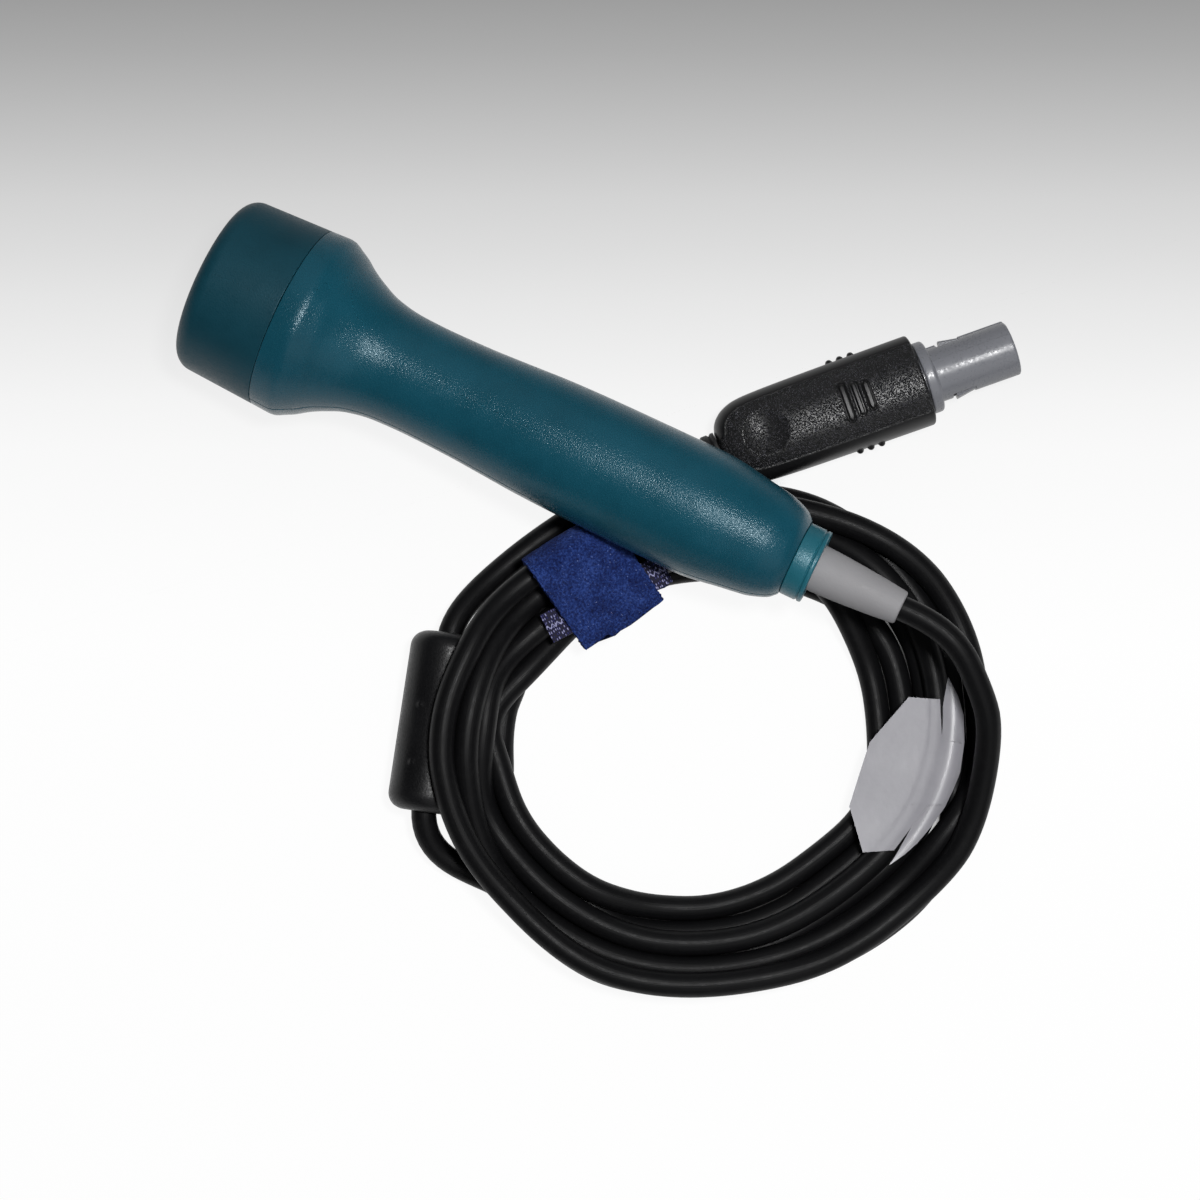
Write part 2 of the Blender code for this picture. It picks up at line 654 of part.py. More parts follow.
relief_rear = flange_front - GAP
relief_front = relief_rear - RELIEF_FLANGE_WIDTH
relief_middle = (collar_end + RELIEF_TIP_STATION) / 2
rear_quarter = (collar_end + relief_middle) / 2
tip_quarter = (relief_middle + RELIEF_TIP_STATION) / 2
relief_profile = [(relief_front, cable_bore), (relief_front, RELIEF_FLANGE_RADIUS),
                  (relief_rear, RELIEF_FLANGE_RADIUS), (relief_rear, RELIEF_RADIUS),
                  (collar_end, RELIEF_RADIUS),
                  (rear_quarter, (RELIEF_RADIUS + RELIEF_MIDDLE_RADIUS) / 2 + GAP / 6),
                  (relief_middle, RELIEF_MIDDLE_RADIUS),
                  (tip_quarter, (RELIEF_MIDDLE_RADIUS + RELIEF_TIP_RADIUS) / 2 + GAP / 3),
                  (RELIEF_TIP_STATION - GAP, RELIEF_TIP_RADIUS),
                  (RELIEF_TIP_STATION, RELIEF_TIP_RADIUS - GAP / 2), (RELIEF_TIP_STATION, cable_bore)]
turned("strain_relief", relief_profile, 32, parent=probe_axis, look=GREY_SOFT)

# Cable tie: pulled tight on the jacket just inside the strain relief

tie_profile = [(TIE_STATION, cable_bore), (TIE_STATION, cable_bore + TIE_THICKNESS),
               (TIE_STATION + TIE_WIDTH, cable_bore + TIE_THICKNESS), (TIE_STATION + TIE_WIDTH, cable_bore)]
cable_tie = turned("cable_tie", tie_profile, COARSE, parent=probe_axis, look=WHITE_PLASTIC)
tie_head = block("tie_head", (TIE_STATION - GAP, -TIE_HEAD / 2, cable_bore + TIE_THICKNESS / 2),
                 (TIE_STATION + TIE_WIDTH + GAP, TIE_HEAD / 2, cable_bore + TIE_HEAD), cutters, probe_axis)
join(cable_tie, tie_head)

# The probe is set down: its rim on the floor, and its own pieces centred over the origin

corners = np.vstack([world_points(bpy.data.objects[name])
                     for name in ("head_cap", "upper_shell", "strain_relief")])
lowest = corners.min(axis=0)
highest = corners.max(axis=0)
probe_axis.location = (-(lowest[0] + highest[0]) / 2, 0.0, -lowest[2])
bpy.context.view_layer.update()


def on_probe(station):
    """The world place of a station on the probe's axis."""
    return tuple(probe_axis.matrix_world @ Vector((station, 0.0, 0.0)))


# Coil: the bundle of turns as one ring, narrowed where the tie passes round it

coil_profile = [(0.0, COIL_INNER_RADIUS + COIL_EDGE), (COIL_EDGE, COIL_INNER_RADIUS),
                (COIL_HEIGHT - COIL_EDGE, COIL_INNER_RADIUS), (COIL_HEIGHT, COIL_INNER_RADIUS + COIL_EDGE),
                (COIL_HEIGHT, COIL_OUTER_RADIUS - COIL_EDGE), (COIL_HEIGHT - COIL_EDGE, COIL_OUTER_RADIUS),
                (COIL_EDGE, COIL_OUTER_RADIUS), (0.0, COIL_OUTER_RADIUS - COIL_EDGE)]
coil = turned("cable_coil", coil_profile, 48, look=BLACK_JACKET)
coil.rotation_euler = (0.0, 0.0, 0.0)
coil.location = (*COIL_CENTRE, 0.0)

# Cloth tie: a band round the bundle, its free end lying over the hole

strap_inner = COIL_INNER_RADIUS - STRAP_PROUD
strap_outer = COIL_OUTER_RADIUS + STRAP_PROUD
strap_top = COIL_HEIGHT + STRAP_PROUD
corner = 2 * STRAP_THICKNESS
fine_corner = corner - STRAP_THICKNESS * 0.6


def rounded(low_x, low_y, high_x, high_y, radius):
    """The outline of a rectangle with cut corners."""
    return [(low_x + radius, low_y), (high_x - radius, low_y), (high_x, low_y + radius),
            (high_x, high_y - radius), (high_x - radius, high_y), (low_x + radius, high_y),
            (low_x, high_y - radius), (low_x, low_y + radius)]


band_outside = [(strap_inner + corner, 0.0), (strap_outer - corner, 0.0), (strap_outer, corner),
                (strap_outer, strap_top - corner), (strap_outer - corner, strap_top),
                (strap_inner - STRAP_TAIL, strap_top),
                (strap_inner - STRAP_TAIL, strap_top - STRAP_THICKNESS),
                (strap_inner, strap_top - STRAP_THICKNESS), (strap_inner, corner)]
band_inside = rounded(strap_inner + STRAP_THICKNESS, STRAP_THICKNESS, strap_outer - STRAP_THICKNESS,
                      strap_top - STRAP_THICKNESS, fine_corner)


def across_bundle(thing):
    """Stand a plate on its edge, its X axis outwards from the coil's centre at the tie."""
    thing.rotation_euler = (math.pi / 2, 0.0, STRAP_ANGLE)
    thing.location = (*COIL_CENTRE, 0.0)
    return thing


across_bundle(plate("strap", [band_outside, band_inside], STRAP_WIDTH, look=BLUE_CLOTH))

waist_space = rounded(strap_inner - EPSILON, -EPSILON, strap_outer + EPSILON, strap_top + EPSILON,
                      EPSILON / 4)
waist_core = rounded(strap_inner + STRAP_THICKNESS + GAP, STRAP_THICKNESS + GAP,
                     strap_outer - STRAP_THICKNESS - GAP, strap_top - STRAP_THICKNESS - GAP, fine_corner)
waist = across_bundle(plate("waist_shape", [waist_space, waist_core], STRAP_WIDTH + 2 * GAP, cutters))
cut(coil, cutter_from("bundle_waist", waist))

# Label flag: a film folded round one strand, its lobe flat on the coil

label = plate("label_flag", [LABEL_OUTLINE], LABEL_THICKNESS, look=WHITE_FILM)
label.location.z = COIL_HEIGHT + GAP + LABEL_THICKNESS / 2

# Ferrite bead: a moulded cover round a ferrite sleeve, threaded on the plug's lead

bead_axis = bpy.data.objects.new("bead_axis", None)
parts.objects.link(bead_axis)
bead_axis.location = (*BEAD_CENTRE, BEAD_RADIUS)
bead_axis.rotation_euler = (0.0, 0.0, BEAD_YAW)
bead_half = BEAD_LENGTH / 2
shoulder_turn = [math.radians(90 * step / 4) for step in range(5)]
shoulder_centre = bead_half - BEAD_SHOULDER
shoulder = [(shoulder_centre + BEAD_SHOULDER * math.cos(turn),
             BEAD_RADIUS - BEAD_SHOULDER * (1 - math.sin(turn))) for turn in shoulder_turn]
cavity_half = bead_half - BEAD_END_WALL
cavity_radius = BEAD_RADIUS - BEAD_WALL
bead_profile = [(-bead_half, cable_bore)]
bead_profile += [(-station, radius) for station, radius in shoulder]
bead_profile += list(reversed(shoulder))
bead_profile += [(bead_half, cable_bore), (cavity_half, cable_bore), (cavity_half, cavity_radius),
                 (-cavity_half, cavity_radius), (-cavity_half, cable_bore)]
turned("bead_cover", bead_profile, COARSE, parent=bead_axis, look=BLACK_PLASTIC)
core_profile = [(-cavity_half + GAP, cable_bore), (-cavity_half + GAP, cavity_radius - GAP),
                (cavity_half - GAP, cavity_radius - GAP), (cavity_half - GAP, cable_bore)]
turned("ferrite_core", core_profile, COARSE, parent=bead_axis, look=FERRITE)

# Plug grip: a moulded handgrip with a thumb dimple, three ribs and side bumps

plug_axis = bpy.data.objects.new("plug_axis", None)
parts.objects.link(plug_axis)
plug_axis.location = (*PLUG_PLACE, HANDGRIP_HEIGHT / 2)
plug_axis.rotation_euler = (0.0, 0.0, PLUG_YAW)


def handgrip_sections(proud):
    """Rings of the handgrip's rounded-square sections, grown outwards by this much."""
    turn = np.linspace(0.0, 2 * math.pi, 28, endpoint=False)
    power = 2 / HANDGRIP_SQUARENESS
    across = np.sign(np.cos(turn)) * np.abs(np.cos(turn)) ** power
    up = np.sign(np.sin(turn)) * np.abs(np.sin(turn)) ** power
    rings = []
    for share, wide, high in HANDGRIP_SECTIONS:
        half_width = wide * HANDGRIP_WIDTH / 2 + proud
        half_height = high * HANDGRIP_HEIGHT / 2 + proud
        station = np.full_like(turn, share * HANDGRIP_LENGTH)
        rings.append(np.stack([station, half_width * across, half_height * up], axis=1))
    return np.array(rings)


def handgrip_share(station, column):
    """The share of the width (column 1) or height (column 2) at a station of the handgrip."""
    table = np.array(HANDGRIP_SECTIONS).T
    return float(np.interp(station / HANDGRIP_LENGTH, table[0], table[column]))


plug_grip = loft("plug_grip", handgrip_sections(0.0), parent=plug_axis, look=BLACK_PLASTIC)
proud_skin = loft("proud_skin", handgrip_sections(RIB_PROUD), cutters, plug_axis)
for number, length in enumerate(RIB_LENGTHS):
    station = RIB_STATION + number * RIB_PITCH
    half = RIB_WIDTH / 2
    ends = length / 2
    turns = [math.radians(angle) for angle in (0, 45, 90, 135, 180)]
    capsule = [(station + half * math.cos(t), ends - half + half * math.sin(t)) for t in turns]
    capsule += [(station - half * math.cos(t), half - ends - half * math.sin(t)) for t in turns]
    rib_plan = plate(f"rib_plan_{number + 1}", [capsule], HANDGRIP_HEIGHT / 2, cutters, plug_axis)
    rib_plan.location.z = HANDGRIP_HEIGHT / 2
    rib = cutter_from(f"rib_{number + 1}", rib_plan)
    trim(rib, proud_skin)
    join(plug_grip, rib)

for side, hand in ((-1, "right"), (1, "left")):
    for number in range(BUMP_COUNT):
        station = BUMP_STATION + number * BUMP_PITCH
        width = handgrip_share(station, 1) * HANDGRIP_WIDTH / 2
        place = (station, side * (width - BUMP_RADIUS / 8), 0.0)
        bump = ball(f"bump_{number + 1}_{hand}", BUMP_RADIUS, 8, place, plug_axis)
        join(plug_grip, bump)

dimple_top = handgrip_share(DIMPLE_STATION, 2) * HANDGRIP_HEIGHT / 2
dimple_ball = (DIMPLE_RADIUS**2 + DIMPLE_DEPTH**2) / (2 * DIMPLE_DEPTH)
dimple_place = (DIMPLE_STATION, 0.0, dimple_top - DIMPLE_DEPTH + dimple_ball)
cut(plug_grip, ball("dimple", dimple_ball, 32, dimple_place, plug_axis))

pocket_floor = HANDGRIP_LENGTH - SOCKET_TAIL_LENGTH - GAP
pocket = rod("grip_pocket", pocket_floor, HANDGRIP_LENGTH + EPSILON, SOCKET_TAIL_RADIUS + GAP, COARSE,
             cutters, plug_axis)
grip_bore = rod("grip_bore", -EPSILON, pocket_floor + EPSILON, cable_bore, COARSE, cutters, plug_axis)
cut(plug_grip, pocket)
cut(plug_grip, grip_bore)

# Plug boot: a ribbed sleeve behind the grip

boot_end = -GAP - PLUG_BOOT_LENGTH
boot_pitch = PLUG_BOOT_LENGTH / (PLUG_BOOT_RIBS + 1)
boot_profile = [(-GAP, cable_bore), (-GAP, PLUG_BOOT_RADIUS)]
for number in range(PLUG_BOOT_RIBS):
    share = (number + 1) / (PLUG_BOOT_RIBS + 1)
    radius = PLUG_BOOT_RADIUS + share * (PLUG_BOOT_TIP_RADIUS - PLUG_BOOT_RADIUS)
    boot_profile += [(-GAP - (number + along) * boot_pitch, radius - depth * RIB_GROOVE)
                     for along, depth in BOOT_GROOVE]
boot_profile += [(boot_end, PLUG_BOOT_TIP_RADIUS), (boot_end, cable_bore)]
turned("plug_boot", boot_profile, COARSE, parent=plug_axis, look=BLACK_RUBBER)

# Plug nose: flange, keyed barrel and two latch fingers, moulded in one

flange_back = HANDGRIP_LENGTH + GAP
flange_face = flange_back + FLANGE_WIDTH
tail_back = flange_back - SOCKET_TAIL_LENGTH
nose_bore = NOSE_RADIUS - NOSE_WALL
nose_profile = [(tail_back, nose_bore), (tail_back, SOCKET_TAIL_RADIUS), (flange_back, SOCKET_TAIL_RADIUS),
                (flange_back, FLANGE_RADIUS), (flange_face - GAP, FLANGE_RADIUS),
                (flange_face, FLANGE_RADIUS - GAP), (flange_face, NOSE_RADIUS),
                (NOSE_END_STATION - NOSE_CHAMFER, NOSE_RADIUS),
                (NOSE_END_STATION, NOSE_RADIUS - NOSE_CHAMFER), (NOSE_END_STATION, nose_bore)]
plug_shell = turned("plug_shell", nose_profile, FINE, parent=plug_axis, look=GREY_NOSE)

key_height = math.sqrt(NOSE_RADIUS**2 - KEY_OFFSET**2) - KEY_DEPTH
key_step = block("key_step", (flange_face + EPSILON / 4, KEY_OFFSET, key_height),
                 (NOSE_END_STATION + EPSILON, NOSE_RADIUS, NOSE_RADIUS + EPSILON), cutters, plug_axis)
cut(plug_shell, key_step)

latch_half = LATCH_WIDTH / 2
for name, side in (("left", 1), ("right", -1)):
    inside = side * (nose_bore - NOSE_WALL)
    outside = side * (NOSE_RADIUS + EPSILON)
    near, far = sorted((inside, outside))
    for edge, low in (("upper", latch_half), ("lower", -latch_half - LATCH_SLOT)):
        slit = block(f"latch_slit_{edge}_{name}", (LATCH_TIP_STATION - LATCH_SLOT, near, low),
                     (LATCH_ROOT_STATION, far, low + LATCH_SLOT), cutters, plug_axis)
        cut(plug_shell, slit)
    behind = block(f"latch_gap_{name}", (LATCH_TIP_STATION - LATCH_SLOT, near, -latch_half - LATCH_SLOT / 2),
                   (LATCH_TIP_STATION, far, latch_half + LATCH_SLOT / 2), cutters, plug_axis)
    cut(plug_shell, behind)
    barb_base = NOSE_RADIUS - NOSE_WALL / 2
    barb_outline = [(LATCH_TIP_STATION, side * barb_base),
                    (LATCH_TIP_STATION, side * (NOSE_RADIUS + LATCH_BARB)),
                    (LATCH_ROOT_STATION - LATCH_SLOT, side * (NOSE_RADIUS - LATCH_BARB / 6)),
                    (LATCH_ROOT_STATION - LATCH_SLOT, side * barb_base)]
    lower = [(x, y, -BARB_WIDTH / 2) for x, y in barb_outline]
    upper = [(x, y, BARB_WIDTH / 2) for x, y in barb_outline]
    rings = np.array([lower, upper]) if side < 0 else np.array([upper, lower])
    barb = loft(f"latch_barb_{name}", rings, cutters, plug_axis)
    join(plug_shell, barb)

insert_front = NOSE_END_STATION - INSERT_RECESS
insert_back = insert_front - INSERT_LENGTH
insert = rod("contact_insert", insert_back, insert_front, nose_bore - GAP, parent=plug_axis,
             look=BLACK_PLASTIC)
pin_end = NOSE_END_STATION - PIN_RECESS
for number in range(PIN_COUNT):
    turn = 2 * math.pi * number / PIN_COUNT
    place = (0.0, PIN_CIRCLE * math.cos(turn), PIN_CIRCLE * math.sin(turn))
    bore = rod(f"pin_bore_{number + 1}", insert_back - EPSILON, insert_front + EPSILON, PIN_RADIUS + GAP, 10,
               cutters, plug_axis)
    bore.location = place
    cut(insert, bore)
    pin = rod(f"contact_pin_{number + 1}", insert_back, pin_end, PIN_RADIUS, 8, parent=plug_axis, look=GOLD)
    pin.location = place

bpy.context.view_layer.update()

# Lead from the probe to the coil: out of the strain relief, down beside the coil and along it

floor_height = CABLE_RADIUS + GAP / 6


def beside_coil(degrees, radius):
    """A place on the floor at this angle and radius from the coil's centre."""
    turn = math.radians(degrees)
    return (COIL_CENTRE[0] + radius * math.cos(turn), COIL_CENTRE[1] + radius * math.sin(turn), floor_height)


along_coil = COIL_OUTER_RADIUS + 2 * GAP + CABLE_RADIUS
probe_lead_route = [on_probe(JACKET_END_STATION), on_probe((JACKET_END_STATION + RELIEF_TIP_STATION) / 2),
                    on_probe(RELIEF_TIP_STATION), on_probe(RELIEF_TIP_STATION + 2 * CABLE_RADIUS),
                    (0.0812, -0.0016, 0.0243), (0.0880, -0.0064, 0.0221), (0.0930, -0.0116, 0.0190),
                    (0.0962, -0.0175, 0.0153), (0.0984, -0.0250, 0.0110), (0.0994, -0.0335, 0.0070),
                    (0.0990, -0.0425, 0.0040), beside_coil(-20, 0.0485), beside_coil(-33, 0.0477),
                    beside_coil(-46, 0.0467), beside_coil(-60, along_coil), beside_coil(-75, along_coil)]
tube("cable_probe_lead", smooth_route(probe_lead_route, 0.0095), CABLE_RADIUS, 10, look=BLACK_JACKET)

# Lead from the plug to the coil: past the tie, through the bead and along the coil


def along_axis(axis, station):
    """The world place of a station on an empty's X axis."""
    return tuple(axis.matrix_world @ Vector((station, 0.0, 0.0)))


plug_lead_route = [along_axis(plug_axis, PLUG_LEAD_STATION), along_axis(plug_axis, 0.0),
                   along_axis(plug_axis, boot_end), along_axis(plug_axis, boot_end - CABLE_RADIUS),
                   (0.0122, -0.0048, 0.0058), (0.0074, -0.0125, 0.0040), (0.0030, -0.0200, 0.0034),
                   (-0.0003, -0.0285, 0.0050), along_axis(bead_axis, -bead_half - CABLE_RADIUS),
                   along_axis(bead_axis, -bead_half), along_axis(bead_axis, 0.0),
                   along_axis(bead_axis, bead_half), along_axis(bead_axis, bead_half + CABLE_RADIUS),
                   (0.0123, -0.0774, 0.0056),
                   (0.0182, -0.0814, 0.0036), (0.0255, -0.0830, 0.0026), beside_coil(-112, 0.0485),
                   beside_coil(-102, along_coil), beside_coil(-92, along_coil)]
tube("cable_plug_lead", smooth_route(plug_lead_route, 0.0085), CABLE_RADIUS, 10, look=BLACK_JACKET)
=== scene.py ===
"""Looks of the hand-held fetal probe with its coiled lead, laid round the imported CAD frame.

Lengths are in metres in the row frame: the probe lies along X with its acoustic face at -X, and the
surface that everything rests on is z = 0.
"""

import math

import bmesh
import bpy
import numpy as np
from mathutils import Matrix, Vector


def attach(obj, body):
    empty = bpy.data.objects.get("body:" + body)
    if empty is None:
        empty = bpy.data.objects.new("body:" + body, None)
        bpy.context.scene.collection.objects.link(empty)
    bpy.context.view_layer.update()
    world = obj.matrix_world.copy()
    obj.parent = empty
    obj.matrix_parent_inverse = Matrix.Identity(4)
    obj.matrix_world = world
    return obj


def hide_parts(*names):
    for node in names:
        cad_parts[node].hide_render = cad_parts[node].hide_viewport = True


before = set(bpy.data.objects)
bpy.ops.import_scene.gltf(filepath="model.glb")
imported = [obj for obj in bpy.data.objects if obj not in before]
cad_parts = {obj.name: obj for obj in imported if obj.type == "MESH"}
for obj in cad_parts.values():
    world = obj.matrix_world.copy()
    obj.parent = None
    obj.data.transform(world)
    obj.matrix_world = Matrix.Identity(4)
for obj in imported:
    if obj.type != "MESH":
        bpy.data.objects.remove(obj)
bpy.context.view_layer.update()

# The camera stands where the photographer stood, almost straight above the probe, with a long lens,
# and rolled so that the probe falls towards the picture's right.
CAMERA_PLACE = (0.03998, -0.06262, 0.66637)
CAMERA_RIGHT = (0.8994, 0.4371, 0.0)
CAMERA_UP = (-0.4360, 0.8972, 0.0698)
CAMERA_BACK = (0.0305, -0.0627, 0.9976)
LENS_MM = 108.0
SENSOR_MM = 36.0

camera = bpy.data.objects.new("camera", bpy.data.cameras.new("camera"))
bpy.context.scene.collection.objects.link(camera)
camera.data.sensor_width = SENSOR_MM
camera.data.lens = LENS_MM
camera.data.clip_start = 0.01
camera.data.clip_end = 20.0
camera.matrix_world = Matrix.Translation(CAMERA_PLACE) @ Matrix(
    (CAMERA_RIGHT, CAMERA_UP, CAMERA_BACK)
).transposed().to_4x4()
bpy.context.scene.camera = camera


# The lead is one round flexible cable in a black extruded jacket, 4.6 mm thick and 1.86 m long. It
# leaves the probe through the strain relief, is wound into six loose turns that lie on each other
# as they fell, and runs through the ferrite bead to the boot of the plug.
LEAD_RADIUS = 0.0023
LEAD_STEP = 0.003
LEAD_SPACE = 0.0001
RELIEF_TIP = np.array((0.069433, 0.0, 0.024158))
PROBE_FACE = np.array((-0.069151, 0.0, 0.01641))
PROBE_ALONG = np.array((0.998441, 0.0, 0.055822))
PLUG_REAR = np.array((0.02775, 0.01325, 0.0071))
PLUG_ALONG = np.array((0.699663, 0.714473, 0.0))
BEAD_CENTRE = np.array((0.0030, -0.0544, 0.0070))
BEAD_YAW = math.radians(-72.5)
BEAD_ALONG = np.array((math.cos(BEAD_YAW), math.sin(BEAD_YAW), 0.0))
BEAD_LENGTH = 0.0330
BEAD_RADIUS = 0.0070
COIL_MIDDLE = np.array((0.0470, -0.0350))
COIL_TURNS = 6
COIL_FIRST_DEG = -8.0
COIL_LAST_DEG = -112.0
COIL_LIFT = 0.0115
COIL_LOWEST = 0.0027
# The strands sway a little between the coil's inside and outside: by this share, so many times for
# each turn, and from this phase.
SWAY = 0.05
SWAY_PACE = 1.31
SWAY_START = 0.4
# Where the lead is held: this far from its start, in the bead to this far past its ends and off its
# axis, and from this far behind the plug.
HELD_START = 0.058
HELD_BESIDE_BEAD = 0.001
HELD_BEHIND_PLUG = 0.0150
# How the lead settles: in how many steps, how far a point sinks in the first one and how fast that
# fades, the shares by which it leans back, evens out, is pushed off and is pulled in, and how much
# air there may be between two strands that are watched.
SETTLE_STEPS = 600
SINK = 0.0002
SINK_FADES = 1.15
LEAN_BACK = 0.03
EVEN_OUT = 0.45
PUSH_OFF = 1.4
PULL_IN = 0.2
WATCHED = 0.003
# The tie round the coil: where it is, its width, the room that it needs under the strands, and over
# what distance beside it this room runs out.
TIE_DEG = 151.3
TIE_WIDTH = 0.0170
TIE_ROOM = 0.0014
TIE_ROOM_ENDS = 0.012
# Where the winding lies between the coil's inside and outside, by the angle turned through.
WINDING = (
    (0, 1.0), (160, 1.0), (320, 0.95), (400, 0.80), (720, 0.55), (1000, 0.20), (1120, 0.05),
    (1260, 0.05), (1500, 0.30), (1800, 0.60), (2100, 0.90), (2270, 1.0),
)
# How far the strands lie from the coil's middle, inside and outside, by angle in degrees.
COIL_INSIDE = (
    (-173, 0.0311), (-164, 0.0348), (-155, 0.0353), (-136, 0.0347), (-114, 0.0335), (-92, 0.0315),
    (-71, 0.0299), (-50, 0.0288), (-25, 0.0288), (-2, 0.0300), (16, 0.0301), (37, 0.0303),
    (56, 0.0307), (71, 0.0310), (90, 0.0298), (117, 0.0279), (127, 0.0278), (148, 0.0280),
    (170, 0.0288), (180, 0.0298),
)
COIL_OUTSIDE = (
    (-175, 0.0466), (-155, 0.0490), (-145, 0.0499), (-137, 0.0502), (-129, 0.0498), (-113, 0.0483),
    (-86, 0.0496), (-69, 0.0483), (-47, 0.0484), (-24, 0.0509), (-5, 0.0532), (2, 0.0540),
    (17, 0.0536), (32, 0.0537), (47, 0.0545), (60, 0.0536), (75, 0.0509), (92, 0.0493),
    (102, 0.0477), (120, 0.0445), (140, 0.0425), (160, 0.0436), (171, 0.0464), (180, 0.0473),
)
# The probe's radius along its length, for the strands that it lies on, and how far along it they are
# kept down.
PROBE_RADII = (
    (0.0, 0.0167), (0.0205, 0.0174), (0.0455, 0.0103), (0.0950, 0.0118), (0.1178, 0.0075),
    (0.1220, 0.0069), (0.1388, 0.0034),
)
PROBE_REACH = 0.1385


def through(points, spacing):
    """Catmull-Rom curve through the points: on each stretch the cubic whose slope at a point is half
    the step from the point before it to the point after it, sampled about every spacing."""
    p = np.asarray(points, float)
    before = np.vstack([2 * p[0] - p[1], p[:-2]]) if len(p) > 2 else p[:1]
    after = np.vstack([p[2:], 2 * p[-1] - p[-2]])
    out = []
    for a, b, c, d in zip(before, p[:-1], p[1:], after):
        count = max(1, int(round(np.linalg.norm(c - b) / spacing)))
        t = (np.arange(count) / count)[:, None]
        out.append(
            b + t * (c - a) / 2 + t**2 * (a - 2.5 * b + 2 * c - d / 2)
            + t**3 * (1.5 * b - 1.5 * c + (d - a) / 2)
        )
    return np.vstack(out + [p[-1:]])


def evenly(points, spacing):
    """The same line with its points moved to equal steps of about spacing along it."""
    far = np.concatenate([[0.0], np.cumsum(np.linalg.norm(np.diff(points, axis=0), axis=1))])
    at = np.linspace(0.0, far[-1], int(round(far[-1] / spacing)) + 1)
    return np.stack([np.interp(at, far, column) for column in points.T], axis=1)


def smooth_step(low, high, value):
    """0 at low and before it, 1 at high and past it, and between them t^2 (3 - 2 t) for the share t of
    the way, which starts and ends level."""
    t = np.clip((value - low) / (high - low), 0.0, 1.0)
    return t * t * (3.0 - 2.0 * t)


def by_angle(table, degrees):
    """A table's second column at these angles, read straight between its rows, all the way round."""
    angles, values = zip(*table)
    return np.interp(degrees, angles, values, period=360.0)


tie_out = np.array((math.cos(math.radians(TIE_DEG)), math.sin(math.radians(TIE_DEG)), 0.0))
tie_side = np.array((-tie_out[1], tie_out[0], 0.0))


def wound(wound_deg):
    """One point of the coil for each angle that the lead has turned through, clockwise from where it
    comes down. Its place between the inside and the outside line follows the winding: the first turns
    lie outside on top, the middle ones inside, and the last, towards the plug, outside below."""
    degrees = COIL_FIRST_DEG - wound_deg
    sway = SWAY * np.sin(np.radians(wound_deg) * SWAY_PACE + SWAY_START)
    share = np.interp(wound_deg, *zip(*WINDING)) + sway
    inside = by_angle(COIL_INSIDE, degrees) + LEAD_RADIUS
    outside = by_angle(COIL_OUTSIDE, degrees) - LEAD_RADIUS
    radius = inside + np.clip(share, 0.0, 1.0) * (outside - inside)
    height = COIL_LOWEST + COIL_LIFT * (1.0 - wound_deg / wound_deg[-1])
    a = np.radians(degrees)
    return np.stack(
        [COIL_MIDDLE[0] + radius * np.cos(a), COIL_MIDDLE[1] + radius * np.sin(a), height], axis=1
    )


def out_of_rod(p, start, along, length, radius):
    """Moves the points out of a rod: one nearer to its axis than radius goes straight out to it."""
    station = (p - start) @ along
    off = p - start - station[:, None] * along
    away = np.linalg.norm(off, axis=1)
    inside = (station > 0.0) & (station < length) & (away < radius)
    push = np.where(inside, radius - away, 0.0) / np.maximum(away, 1e-9)
    return p + off * push[:, None]


def under_probe(p):
    """The points' heights, where those that are above the probe's underside are lowered to it: by
    its radius there and their distance from the upright plane through its axis."""
    station = (p - PROBE_FACE) @ PROBE_ALONG
    radius = np.interp(station, *zip(*PROBE_RADII)) + LEAD_RADIUS + 2 * LEAD_SPACE
    drop = np.sqrt(np.maximum(radius**2 - p[:, 1] ** 2, 0.0))
    below = station * PROBE_ALONG[2] + PROBE_FACE[2] - drop
    covered = (station > 0.0) & (station < PROBE_REACH) & (np.abs(p[:, 1]) < radius)
    return np.where(covered, np.minimum(p[:, 2], below), p[:, 2])


